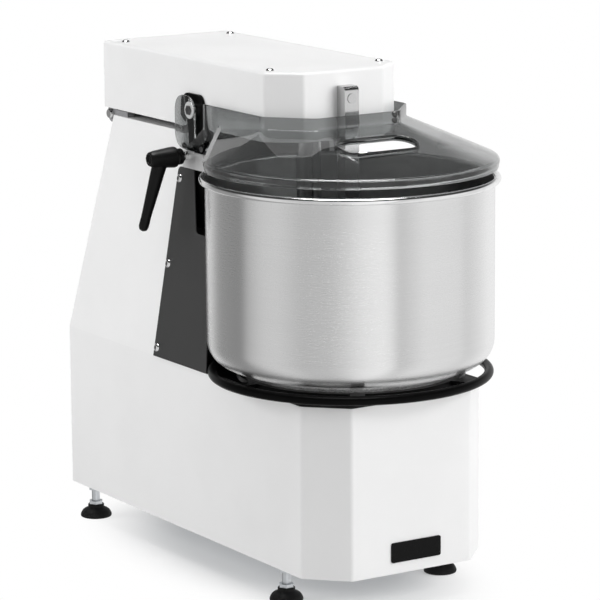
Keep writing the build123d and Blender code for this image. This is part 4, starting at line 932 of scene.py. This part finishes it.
@dataclass
class Studio:
    """Pale floor, soft lamps, the surroundings that metal shows, and the camera."""

    camera_place: Point = (-2.4865, -3.98535, 1.3126)
    camera_target: Point = (-0.05899, -0.14496, 0.40372)
    camera_roll: float = -0.419
    lens: float = 200.485
    floor_half: float = 9.0
    floor_colour: Colour = grey(0.96)
    floor_bounce: Colour = grey(0.45)
    fade_from: float = 0.2
    fade_to: float = 0.46
    footprint: float = 1.9
    ambient: float = 0.45
    overhead: float = 14.0
    ceiling: float = 0.05
    ceiling_from: tuple[float, float] = (0.22, 0.46)
    overhead_from: tuple[float, float] = (0.93, 0.96)
    # places run from behind (0) over the left (0.25), the front (0.5) and the right (0.75)
    walls: tuple[tuple[float, float], ...] = (
        (0.0, 0.74),
        (0.05, 0.37),
        (0.14, 0.31),
        (0.158, 0.64),
        (0.2, 0.82),
        (0.24, 0.84),
        (0.3, 0.67),
        (0.36, 0.71),
        (0.4, 0.88),
        (0.43, 1.05),
        (0.48, 1.2),
        (0.505, 1.08),
        (0.515, 0.74),
        (0.58, 1.03),
        (0.68, 0.98),
        (0.7, 0.84),
        (0.8, 1.08),
        (1.0, 0.74),
    )
    lamps: tuple[Lamp, ...] = (
        Lamp("left_lamp", 154.5, 15.0, 3.5, 2.4, 69.0),
        Lamp("front_lamp", -62.0, 16.3, 3.5, 2.4, 84.0),
        Lamp("top_lamp", -90.0, 86.0, 3.0, 2.4, 37.0),
    )

    def build(self) -> None:
        """Puts everything that isn't the machine in place."""
        self.floor()
        self.surroundings()
        for lamp in self.lamps:
            self.lamp(lamp)
        self.camera()
        LOG.info("studio: floor, %d lamps, surroundings and camera", len(self.lamps))

    def floor(self) -> None:
        """A pale floor that keeps the machine's shadow and turns plain white further out."""
        mesh = bpy.data.meshes.new("studio_floor")
        half = self.floor_half
        corners = [(-half, -half, 0), (half, -half, 0), (half, half, 0), (-half, half, 0)]
        mesh.from_pydata(corners, [], [(0, 1, 2, 3)])
        floor = bpy.data.objects.new("studio_floor", mesh)
        bpy.context.scene.collection.objects.link(floor)
        floor.visible_glossy = False
        material = bpy.data.materials.new("studio_floor")
        material.use_nodes = True
        graph = Graph(material.node_tree)
        x, y, _ = graph.parts(graph.place())
        out = graph.maths("SQRT", x * x * self.footprint**2 + y * y)
        seen = graph.wire("LightPath", output="Is Camera Ray")
        pale = graph.blend(seen, self.floor_bounce, self.floor_colour)
        lit = graph.wire("BsdfPrincipled", sockets={"Base Color": pale, "Roughness": 0.8})
        white = graph.wire("Emission", sockets={0: opaque(grey(1.0)), 1: 1.0})
        share = out.above(self.fade_from, self.fade_to) * seen
        shader = graph.wire("MixShader", sockets={0: share, 1: lit, 2: white})
        graph.node("OutputMaterial", sockets={"Surface": shader})
        floor.data.materials.append(material)

    def surroundings(self) -> None:
        """White to the camera; to metal, a studio with softboxes between darker walls."""
        world = bpy.data.worlds.new("studio")
        bpy.context.scene.world = world
        world.use_nodes = True
        graph = Graph(world.node_tree)
        x, y, z = graph.parts(graph.wire("TexCoord", output="Generated"))
        turn = graph.maths("ARCTAN2", x, -y) / FULL_TURN + 0.5
        stops = [(place, grey(level)) for place, level in self.walls]
        wall = graph.wire("ValToRGB", {"stops": stops}, {0: turn})
        mirrored = graph.blend(z.above(*self.ceiling_from), wall, grey(self.ceiling))
        mirrored = graph.blend(z.above(*self.overhead_from), mirrored, grey(self.overhead))
        path = graph.node("LightPath")
        camera = Wire(graph, path.outputs["Is Camera Ray"])
        glossy = Wire(graph, path.outputs["Is Glossy Ray"])
        through = Wire(graph, path.outputs["Is Transmission Ray"])
        shown = graph.blend(glossy, grey(self.ambient), mirrored)
        seen = graph.maths("MAXIMUM", camera, through)
        shown = graph.blend(seen, shown, grey(1.0))
        background = graph.wire("Background", sockets={0: shown, 1: 1.0})
        graph.node("OutputWorld", sockets={"Surface": background})

    @staticmethod
    def lamp(lamp: Lamp) -> None:
        """A square soft lamp aimed at the machine's middle.

        Args:
            lamp: where it stands, its size and its power.
        """
        middle = (CAD_BOX[0] + CAD_BOX[1]) / 2
        turn, rise = math.radians(lamp.azimuth), math.radians(lamp.elevation)
        direction = Vector((math.cos(rise) * math.cos(turn), math.cos(rise) * math.sin(turn), math.sin(rise)))
        data = bpy.data.lights.new(lamp.name, "AREA")
        data.shape = "SQUARE"
        data.size = lamp.side
        data.energy = lamp.watts
        placed = bpy.data.objects.new(lamp.name, data)
        placed.location = middle + direction * lamp.away
        placed.rotation_euler = direction.to_track_quat("Z", "Y").to_euler()
        placed.visible_glossy = False
        bpy.context.scene.collection.objects.link(placed)

    def camera(self) -> None:
        """The camera at the machine's portrait angle."""
        data = bpy.data.cameras.new("camera")
        data.lens = self.lens
        data.sensor_width = 36.0
        data.clip_end = 50.0
        placed = bpy.data.objects.new("camera", data)
        away = Vector(self.camera_place) - Vector(self.camera_target)
        roll = Matrix.Rotation(math.radians(self.camera_roll), 3, "Z")
        turned = away.to_track_quat("Z", "Y").to_matrix() @ roll
        placed.matrix_world = Matrix.Translation(self.camera_place) @ turned.to_4x4()
        bpy.context.scene.collection.objects.link(placed)
        bpy.context.scene.camera = placed
        bpy.context.scene.view_settings.view_transform = "Standard"


# ---------------------------------------------------------------- modelled pieces
def bowl_axis() -> Vector:
    """Where the bowl's axis meets the floor."""
    low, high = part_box("bowl")
    return Vector(((low.x + high.x) / 2, (low.y + high.y) / 2, 0))


@dataclass
class Bowl:
    """Spun stainless bowl: flat floor, round corner, straight wall, rolled rim."""

    wall: float = 1.5 * MM
    corner: float = 36 * MM
    bead: float = 4.7 * MM
    rim_overhang: float = 8.5 * MM
    flare_below: float = 9 * MM
    flare: float = 1.4 * MM
    hub_share: float = 0.1
    turns: int = 180

    def build(self) -> None:
        """Models the bowl and its bright rim."""
        low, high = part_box("bowl")
        middle = bowl_axis()
        radius = high.x - self.rim_overhang
        lip = high.z - self.bead
        shoulder = radius - self.corner
        outside = arc((shoulder, low.z + self.corner), self.corner, -90, 0, 18)
        inside = arc((shoulder, low.z + self.corner), self.corner - self.wall, 0, -90, 18)
        crown = [(radius, lip - self.flare_below), (radius + self.flare, lip), (radius, lip)]
        hub = self.hub_share * radius
        profile = [(hub, low.z), *outside, *crown, (radius - self.wall, lip), *inside, (hub, low.z + self.wall)]
        skin = Skin()
        skin.lathe(profile, self.turns)
        bowl = skin.made("bowl_wall", Finishes.BOWL_STEEL)
        # Inner faces take the darker copy of the bowl steel: painted shade inside the bowl.
        bowl.data.materials.append(Finishes.BOWL_INSIDE_SHADED.material())
        for face in bowl.data.polygons:
            inward = face.normal.xy.dot(face.center.xy) < -0.3 * face.center.xy.length
            inner_floor = low.z + 0.5 * self.wall < face.center.z < lip - self.corner and face.normal.z > 0.5
            face.material_index = int(inward or inner_floor)
        bowl.data.transform(Matrix.Translation(middle))
        finished(bowl, "bowl_group", "bowl_stainless", "bowl")
        rim = Skin()
        rim.lathe(arc((high.x - self.bead, lip), self.bead, 0, 330, 22), self.turns, closed=True)
        bead = rim.made("bowl_rim", Finishes.RIM_STEEL)
        bead.data.transform(Matrix.Translation(middle))
        finished(bead, "bowl_group", "bowl_stainless")


@dataclass
class Lid:
    """Blown smoked lid: skirt, rounded shoulder, creased slope, collar, side wings with ears."""

    draft: float = 2 * MM
    skirt: float = 12.8 * MM
    wall: float = 3 * MM
    fold_rise: float = 57 * MM
    collar_rise: float = 73.7 * MM
    collar_half: float = 119.1 * MM
    collar_front: float = 21.8 * MM
    chamfer_side: float = 57 * MM
    chamfer_front: float = 50.5 * MM
    corner: float = 9 * MM
    shoulder_round: float = 6 * MM
    fold_round: float = 2.6 * MM
    cut: float = 151 * MM
    ring_cut: float = 66 * MM
    wing_rear: float = 193 * MM
    ear_front: float = 218 * MM
    ear_rear: float = 272 * MM
    ear_corner: float = 26 * MM
    ear_rise: float = 3.1 * MM
    notch_top: float = 39.3 * MM
    notch_bottom: float = 20.2 * MM
    sag_from: float = 40 * MM
    sag: float = 12 * MM
    creases: tuple[float, ...] = (2.0, 46.0, 50.0, 88.0)
    feed_x: float = -15 * MM
    feed_ahead: float = 91 * MM
    feed_length: float = 128 * MM
    feed_width: float = 54 * MM
    feed_wall: float = 3.6 * MM
    feed_rise: float = 3.4 * MM
    feed_drop: float = 5 * MM
    feed_rounds: tuple[float, ...] = (1 * MM, 1 * MM, 1.7 * MM, 1.7 * MM)
    edge_width: float = 6.5 * MM
    edge_tuck: float = 1 * MM
    edge_low: float = 0.15 * MM
    edge_high: float = 0.9 * MM
    edge_ends: tuple[float, float] = (3 * MM, 2 * MM)

    @property
    def radius(self) -> float:
        """The lid's outer radius."""
        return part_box("lid_shell")[1].x

    @property
    def bottom(self) -> float:
        """Height of the skirt's lower edge."""
        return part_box("lid_shell")[0].z

    def rearness(self, y: float) -> float:
        """How far back along the collar's side a place is, from 0 to 1.

        Args:
            y: the place, from the bowl's axis.

        Returns:
            The share.
        """
        return min(1.0, max(0.0, (y - self.sag_from) / (self.cut - self.sag_from)))

    def collar_stretches(self) -> list[list[Vector]]:
        """The left half of the collar's outline, stretch by stretch.

        Returns:
            The stretches, from the rear to the middle, each as its points.
        """
        half, front = self.collar_half, -self.collar_front
        rear = Vector((-half, self.cut))
        side = Vector((-half, front + self.chamfer_side))
        toe = Vector((-half + self.chamfer_front, front))
        middle = Vector((0, front))
        side_curve = curve_through(rear, side, toe, self.corner, 10)
        toe_curve = curve_through(side, toe, middle, self.corner, 10)
        flank, slant, nose = [rear, side_curve[0]], [side_curve[-1], toe_curve[0]], [toe_curve[-1], middle]
        return [flank, side_curve, slant, toe_curve, nose]

    def columns(self) -> list[tuple[Vector, float]]:
        """Pairs the collar's outline with the lid's round edge.

        Returns:
            The outline's points, each with the azimuth in degrees that it meets.
        """
        radius = self.radius
        last = 180 - math.degrees(math.atan2(math.sqrt(radius**2 - self.ring_cut**2), self.ring_cut))
        stops = [last, *reversed(self.creases), 0.0]
        found = []
        for stretch, start, end in zip(self.collar_stretches(), stops, stops[1:]):
            count = max(2, round((start - end) / 2))
            for step in range(count):
                share = step / count
                place = share * (len(stretch) - 1)
                index = int(place)
                spot = stretch[index].lerp(stretch[index + 1], place - index)
                found.append((spot, -(start + (end - start) * share)))
        mirrored = [(Vector((-spot.x, spot.y)), -azimuth) for spot, azimuth in reversed(found)]
        return found + [(Vector((0, -self.collar_front)), 0.0)] + mirrored

    def shell(self) -> bpy.types.Object:
        """The lid's one-piece skin, with its thickness.

        Returns:
            The skin, about the bowl's axis.
        """
        skin = Skin()
        rows = []
        for spot, azimuth in self.columns():
            turn = math.radians(azimuth)
            out = Vector((math.sin(turn), -math.cos(turn), 0))
            foot = out * (self.radius - self.draft) + Vector((0, 0, self.bottom))
            shoulder = out * self.radius + Vector((0, 0, self.bottom + self.skirt))
            fold = Vector((spot.x, spot.y, self.bottom + self.fold_rise - self.sag * self.rearness(spot.y)))
            top = Vector((spot.x, spot.y, self.bottom + self.collar_rise))
            column = [foot] + curve_through(foot, shoulder, fold, self.shoulder_round, 6)
            bend = curve_through(shoulder, fold, top, self.fold_round, 6)
            column += [column[-1].lerp(bend[0], step / 6) for step in range(1, 6)] + bend + [top]
            rows.append(skin.ring(column))
        for low, high in zip(rows, rows[1:]):
            skin.bridge(low, high, closed=False)
        for row, side in ((rows[0], -1), (rows[-1], 1)):
            self.wing(skin, row[-2:], side)
        piece = skin.made("lid_shell_clear", Finishes.SMOKED)
        thick = piece.modifiers.new("thickness", "SOLIDIFY")
        thick.thickness = self.wall
        thick.offset = -1.0
        thick.use_even_offset = True
        edge = piece.modifiers.new("broken edges", "BEVEL")
        edge.width = 0.5 * MM
        edge.segments = 2
        edge.limit_method = "ANGLE"
        edge.angle_limit = math.radians(55)
        bpy.context.view_layer.update()
        return settle(piece, 40.0)

    def wing(self, skin: Skin, edge: list, side: int) -> None:
        """The flat wing and ear beside the head, grown from the collar's rear edge.

        Args:
            skin: the lid's skin.
            edge: the collar's lower and upper rear point.
            side: -1 for left, 1 for right.
        """
        low, high = edge
        ear_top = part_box("lid_shell")[1].z
        ear_bottom = self.bottom + self.ear_rise
        corners = [
            (self.wing_rear, high.co.z),
            (self.wing_rear, self.bottom + self.notch_top),
            (self.ear_front, self.bottom + self.notch_bottom),
            (self.ear_front, ear_top),
            (self.ear_rear, ear_top),
            (self.ear_rear, ear_bottom),
            (self.wing_rear, ear_bottom),
        ]
        sizes = (3 * MM, 4 * MM, 4 * MM, self.ear_corner, self.ear_corner, self.ear_corner, 4 * MM)
        outline = rounded([(self.cut, high.co.z), *corners, (self.cut, low.co.z)], (0, *sizes, 0))[1:-1]
        made = skin.ring((side * self.collar_half, y, z) for y, z in outline)
        skin.cap([low, high, *made])

    def feed_opening(self, piece: bpy.types.Object) -> None:
        """Cuts the feed opening and grows its thick raised rim.

        Args:
            piece: the lid's skin.
        """
        run = self.radius - self.collar_front
        rise = math.atan2(self.fold_rise - self.skirt, run)
        height = self.bottom + self.skirt + (self.radius - self.feed_ahead) * math.tan(rise)
        tilt = Matrix.Rotation(rise, 4, "X")
        spot = Matrix.Translation((self.feed_x, -self.feed_ahead, height)) @ tilt
        half = self.feed_wall / 2
        cutter = Skin()
        cutter.plate(slot_outline(self.feed_length - 2 * half, self.feed_width - 2 * half), -0.03, 0.03)
        hole = cutter.made("feed_cutter", Finishes.SMOKED)
        hole.data.transform(spot)
        combine(piece, hole, "DIFFERENCE")
        corners = [(-half, -self.feed_drop), (half, -self.feed_drop)]
        corners += [(half, self.feed_rise), (-half, self.feed_rise)]
        section = rounded(corners, self.feed_rounds, 5)
        rim = Skin()
        loops = []
        for out, up in section:
            length, width = self.feed_length - 2 * half + 2 * out, self.feed_width - 2 * half + 2 * out
            loops.append(rim.ring([(x, y, up) for x, y in slot_outline(length, width)]))
        for low, high in zip(loops, loops[1:] + loops[:1]):
            rim.bridge(low, high)
        ring = rim.made("feed_rim", Finishes.SMOKED)
        ring.data.transform(spot)
        combine(piece, ring, "UNION")

    def cut_edges(self) -> bpy.types.Object:
        """Flat strips for the polished rear cuts of the slope, one on each side, in a pale opaque tone that is
        a painted highlight.

        Returns:
            Both strips as one piece, about the bowl's axis.
        """
        skin = Skin()
        spot, azimuth = self.columns()[0]
        turn = math.radians(azimuth)
        ahead = Vector((0, -1, 0))
        sections = [(-self.edge_tuck, self.edge_low), (self.edge_width, self.edge_low)]
        sections += [(self.edge_width, self.edge_high), (-self.edge_tuck, self.edge_high)]
        for side in (1, -1):
            edge_x, edge_y = side * math.sin(turn) * self.radius, -math.cos(turn) * self.radius
            low = Vector((edge_x, edge_y, self.bottom + self.skirt))
            high = Vector((side * spot.x, spot.y, self.bottom + self.fold_rise - self.sag))
            along = (high - low).normalized()
            across = (ahead - along * along.dot(ahead)).normalized()
            up = along.cross(across)
            up = up if up.z > 0 else -up
            start, stop = self.edge_ends
            ends = (low + along * start, high - along * stop)
            skin.sweep([[end + across * out + up * rise for out, rise in sections] for end in ends])
        return skin.made("lid_cut_edges_highlight", Finishes.EDGE_HIGHLIGHT)

    def build(self) -> None:
        """Models the lid and puts it on its body."""
        middle = bowl_axis()
        piece = self.shell()
        self.feed_opening(piece)
        shade(piece, 40.0)
        piece.data.transform(Matrix.Translation(middle))
        finished(piece, "lid", "smoked_clear", "lid_shell")
        # Pale strips on the lid's cut edges: painted highlight.
        edges = self.cut_edges()
        edges.data.transform(Matrix.Translation(middle))
        finished(edges, "lid", "smoked_clear")


@dataclass
class ClampLever:
    """Moulded clamp lever: turned hub with a pressed-in cap and a swelling arm."""

    hub_radius: float = 15 * MM
    hub_length: float = 53 * MM
    arm_inset: float = 20 * MM
    arm_length: float = 108 * MM
    arm_lean: float = 7.5
    arm_splay: float = 13.0
    arm_flatness: float = 0.86
    arm_radii: tuple[tuple[float, float], ...] = (
        (0.0, 10.8),
        (0.12, 10.5),
        (0.3, 9.6),
        (0.5, 8.6),
        (0.7, 7.6),
        (0.82, 7.1),
        (0.86, 7.3),
        (0.93, 7.3),
        (0.968, 6.2),
        (0.988, 4.4),
        (1.0, 0.8),
    )
    grain: float = 0.9 * MM

    def build(self, node: str, body: str, side: int) -> None:
        """Models one lever.

        Args:
            node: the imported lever.
            body: its body.
            side: -1 for left, 1 for right.
        """
        low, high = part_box(node)
        hub_in = abs(high.x if side < 0 else low.x)
        axis_z = high.z - self.hub_radius
        stud_low, stud_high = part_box("clamp_studs")
        axis_y = (stud_low.y + stud_high.y) / 2
        length, radius = self.hub_length, self.hub_radius
        profile = [
            (0.2 * radius, 0.0),
            (0.72 * radius, 0.0),
            (0.77 * radius, 0.012 * length),
            (0.77 * radius, 0.16 * length),
            (0.93 * radius, 0.19 * length),
            (0.99 * radius, 0.22 * length),
            (radius, 0.27 * length),
            (0.98 * radius, 0.36 * length),
            (0.78 * radius, 0.86 * length),
            (0.7 * radius, 0.96 * length),
            (0.62 * radius, length),
            (0.46 * radius, length),
            (0.44 * radius, 0.95 * length),
            (0.1 * radius, 0.95 * length),
        ]
        hub = Skin()
        hub.lathe(profile, 64)
        outward = Vector((side, 0, 0))
        lean, splay = math.radians(self.arm_lean), math.radians(self.arm_splay)
        down = Vector((side * math.sin(splay), math.sin(lean), -math.cos(splay) * math.cos(lean)))
        root = Vector((side * (hub_in + length - self.arm_inset), axis_y, axis_z))
        piece = hub.made(node + "_hub", Finishes.BLACK_PLASTIC)
        piece.data.transform(turned_to(outward, (side * hub_in, axis_y, axis_z)))
        arm = Skin()
        turns = [FULL_TURN * step / 40 for step in range(40)]
        rows = []
        for share, size in self.arm_radii:
            wide, thick, height = size * MM, size * MM * self.arm_flatness, share * self.arm_length
            rows.append([(thick * math.cos(t), wide * math.sin(t), height) for t in turns])
        arm.sweep(rows)
        stick = arm.made(node + "_arm", Finishes.BLACK_PLASTIC)
        stick.data.transform(turned_to(down.normalized(), root))
        combine(piece, stick, "UNION")
        remesh = piece.modifiers.new("blend", "REMESH")
        remesh.mode = "VOXEL"
        remesh.voxel_size = self.grain
        relax = piece.modifiers.new("relax", "SMOOTH")
        relax.iterations = 5
        bpy.context.view_layer.update()
        settle(piece, 60.0)
        piece.name = node + "_moulded"
        finished(piece, body, "black_plastic", node)
        plug = Skin()
        crown = [(0.05 * radius, 0), (0.42 * radius, 0), (0.4 * radius, 0.6 * MM), (0.05 * radius, 0.9 * MM)]
        plug.lathe(crown, 48)
        cap = plug.made(node + "_cap", Finishes.BLACK_GLOSS)
        cap.data.transform(turned_to(outward, (side * (hub_in + 0.951 * length), axis_y, axis_z)))
        finished(cap, body, "black_plastic")


def islands(node: str) -> list[list[Vector]]:
    """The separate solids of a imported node.

    Args:
        node: the node's name.

    Returns:
        Each solid's points, in the machine's frame.
    """
    packed = FRAME["nodes"][node]
    mesh = bmesh.new()
    mesh.from_mesh(packed.data)
    bmesh.ops.remove_doubles(mesh, verts=mesh.verts, dist=1e-6)
    left, found = set(mesh.verts), []
    while left:
        queue, group = [left.pop()], []
        while queue:
            vert = queue.pop()
            group.append(packed.matrix_world @ vert.co)
            near = {edge.other_vert(vert) for edge in vert.link_edges} & left
            left -= near
            queue += near
        found.append(group)
    mesh.free()
    return found


@dataclass
class SocketScrews:
    """Button-head screws whose socket is a dark disc of painted shade, in place of a packed set of plain ones.
    """

    dome: float = 0.55
    lean: float = 6.978
    flank_from: float = 100 * MM
    turns: int = 40

    def build(self, node: str, body: str, slot: str) -> None:
        """Models the whole set.

        Args:
            node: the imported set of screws.
            body: the body that they move with.
            slot: the record's material slot.
        """
        lean = math.radians(self.lean)
        heads, sockets = Skin(), Skin()
        for group in islands(node):
            low = Vector([min(point[axis] for point in group) for axis in range(3)])
            high = Vector([max(point[axis] for point in group) for axis in range(3)])
            middle = (low + high) / 2
            size = high - low
            on_flank = size.y > 2 * size.x or (abs(middle.x) > self.flank_from and size.y > size.x)
            side = 1 if middle.x > 0 else -1
            out = Vector((side * math.cos(lean), 0, math.sin(lean))) if on_flank else Vector((0, 1, 0))
            radius = size.y / 2 if on_flank else size.x / 2
            reach = [point.dot(out) for point in group]
            seat = max(reach) - self.dome * radius
            foot = middle + out * (seat - middle.dot(out))
            place = turned_to(out, foot)
            shank = min(reach) - seat
            profile = [
                (0.1 * radius, shank),
                (0.5 * radius, shank),
                (0.5 * radius, 0.0),
                (radius, 0.0),
                (radius, 0.12 * radius),
                (0.93 * radius, 0.28 * radius),
                (0.78 * radius, 0.43 * radius),
                (0.58 * radius, 0.53 * radius),
                (0.47 * radius, self.dome * radius),
                (0.44 * radius, 0.53 * radius),
                (0.43 * radius, 0.44 * radius),
                (0.1 * radius, 0.44 * radius),
            ]
            # The socket: a dark disc filling the head's recess, painted shade for the hex hole.
            socket = [
                (0.04 * radius, 0.45 * radius),
                (0.42 * radius, 0.45 * radius),
                (0.4 * radius, 0.52 * radius),
                (0.04 * radius, 0.5 * radius),
            ]
            heads.placed(place, heads.lathe, profile, self.turns)
            sockets.placed(place, sockets.lathe, socket, self.turns)
        finished(heads.made(node + "_heads", Finishes.RIM_STEEL, 40.0), body, slot, node)
        finished(sockets.made(node + "_socket_shades", Finishes.DARK_BOLT, 40.0), body, slot)


@dataclass
class PivotBolts:
    """Lid pivots: hex head, bright washer, shank, spacer and inner nut."""

    head_radius: float = 7.2 * MM
    head_height: float = 2.4 * MM
    washer_radius: float = 12.2 * MM
    washer: float = 2.0 * MM
    ear_face: float = 119.1 * MM
    spacer: tuple[float, float, float] = (10 * MM, 112.1 * MM, 116.0 * MM)
    nut: tuple[float, float, float] = (9 * MM, 99.3 * MM, 106.0 * MM)
    shank: tuple[float, float] = (5 * MM, 94 * MM)
    turns: int = 40

    def shank_profile(self, out: float) -> list[Point]:
        """The shank with its spacer and nut.

        Args:
            out: where the shank ends, from the machine's middle.

        Returns:
            The profile's points.
        """
        radius, start = self.shank
        spacer, spacer_in, spacer_out = self.spacer
        nut, nut_in, nut_out = self.nut
        return [
            (0.2 * radius, start),
            (radius, start),
            (radius, nut_in),
            (nut, nut_in),
            (nut, nut_out),
            (radius, nut_out),
            (radius, spacer_in),
            (spacer, spacer_in),
            (spacer, spacer_out),
            (radius, spacer_out),
            (radius, out),
            (0.2 * radius, out),
        ]

    def washer_profile(self, out: float) -> list[Point]:
        """The washer with its rounded outer edge.

        Args:
            out: the washer's outer face, from the machine's middle.

        Returns:
            The profile's points.
        """
        edge, face = self.washer_radius, self.ear_face + 0.05 * MM
        return [
            (0.5 * edge, face),
            (edge - 0.4 * MM, face),
            (edge, self.ear_face + 0.5 * MM),
            (edge, out - 0.5 * MM),
            (edge - 0.5 * MM, out),
            (0.5 * edge, out),
        ]

    def head_rows(self, out: float) -> list[list[Point]]:
        """The hex head, with its chamfered face.

        Args:
            out: where the head sits, from the machine's middle.

        Returns:
            Its rows of corners.
        """
        corners = [FULL_TURN * step / 6 for step in range(6)]
        rows = []
        for share, height in ((1.0, 0.0), (1.0, 0.8), (0.9, 1.0)):
            size, level = share * self.head_radius, out + height * self.head_height
            rows.append([(size * math.cos(t), size * math.sin(t), level) for t in corners])
        return rows

    def build(self) -> None:
        """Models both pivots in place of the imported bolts."""
        low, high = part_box("lid_pivot_bolts")
        axis = Vector((0, (low.y + high.y) / 2, (low.z + high.z) / 2))
        out = self.ear_face + self.washer
        shanks, washers, heads = Skin(), Skin(), Skin()
        for side in (-1, 1):
            place = turned_to(Vector((side, 0, 0)), axis)
            shanks.placed(place, shanks.lathe, self.shank_profile(out), self.turns)
            washers.placed(place, washers.lathe, self.washer_profile(out), self.turns)
            heads.placed(place, heads.sweep, self.head_rows(out))
        bolts = shanks.made("lid_pivot_shanks", Finishes.GROUND_STEEL)
        finished(bolts, "head", "dark_bolt", "lid_pivot_bolts")
        finished(washers.made("lid_pivot_washers", Finishes.SATIN_STEEL), "head", "dark_bolt")
        finished(heads.made("lid_pivot_heads", Finishes.DARK_BOLT), "head", "dark_bolt")


@dataclass
class Feet:
    """Rubber feet with a grooved skirt."""

    neck: float = 12 * MM
    side: float = 129 * MM
    turns: int = 72

    def build(self) -> None:
        """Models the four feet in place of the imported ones."""
        low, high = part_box("foot_pads")
        radius, top = high.x - self.side, high.z
        profile = [
            (0.3 * self.neck, 0.0),
            (0.8 * radius, 0.0),
            (0.82 * radius, 0.8 * MM),
            (0.95 * radius, 0.8 * MM),
            (0.985 * radius, 1.4 * MM),
            (radius, 3.2 * MM),
            (0.985 * radius, 5.2 * MM),
            (0.955 * radius, 5.8 * MM),
            (0.955 * radius, 6.6 * MM),
            (0.94 * radius, 7.4 * MM),
            (0.86 * radius, 10.2 * MM),
            (0.74 * radius, 12.4 * MM),
            (0.6 * radius, 13.6 * MM),
            (1.12 * self.neck, 14.3 * MM),
            (1.02 * self.neck, 15.2 * MM),
            (self.neck, top - 0.8 * MM),
            (0.94 * self.neck, top),
            (0.3 * self.neck, top),
        ]
        skin = Skin()
        for x in (-self.side, self.side):
            for y in (low.y + radius, high.y - radius):
                skin.placed(Matrix.Translation((x, y, 0)), skin.lathe, profile, self.turns)
        finished(skin.made("foot_pads_grooved", Finishes.RUBBER, 40.0), "base", "black_rubber", "foot_pads")


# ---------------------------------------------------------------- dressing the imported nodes
def dress_nodes() -> None:
    """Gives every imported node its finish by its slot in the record."""
    for part in FRAME["record"]["subparts"]:
        node, slot = part["node"], part["material_slot"]
        finish = NODE_FINISH.get(node, SLOT_FINISH[slot])
        materials = FRAME["nodes"][node].data.materials
        for index in range(len(materials)):
            materials[index] = finish.material()
        LOG.info("%s: %s", node, finish.value.name)


def main() -> None:
    """Builds the studio and the machine's looks."""
    logging.basicConfig(level=logging.INFO, format="%(message)s")
    Studio().build()
    dress_nodes()
    Bowl().build()
    Lid().build()
    for name, side in (("left", -1), ("right", 1)):
        ClampLever().build("clamp_lever_" + name, name + "_lever", side)
    Feet().build()
    PivotBolts().build()
    SocketScrews().build("housing_screws", "base", "stainless")


if __name__ == "__main__":
    main()
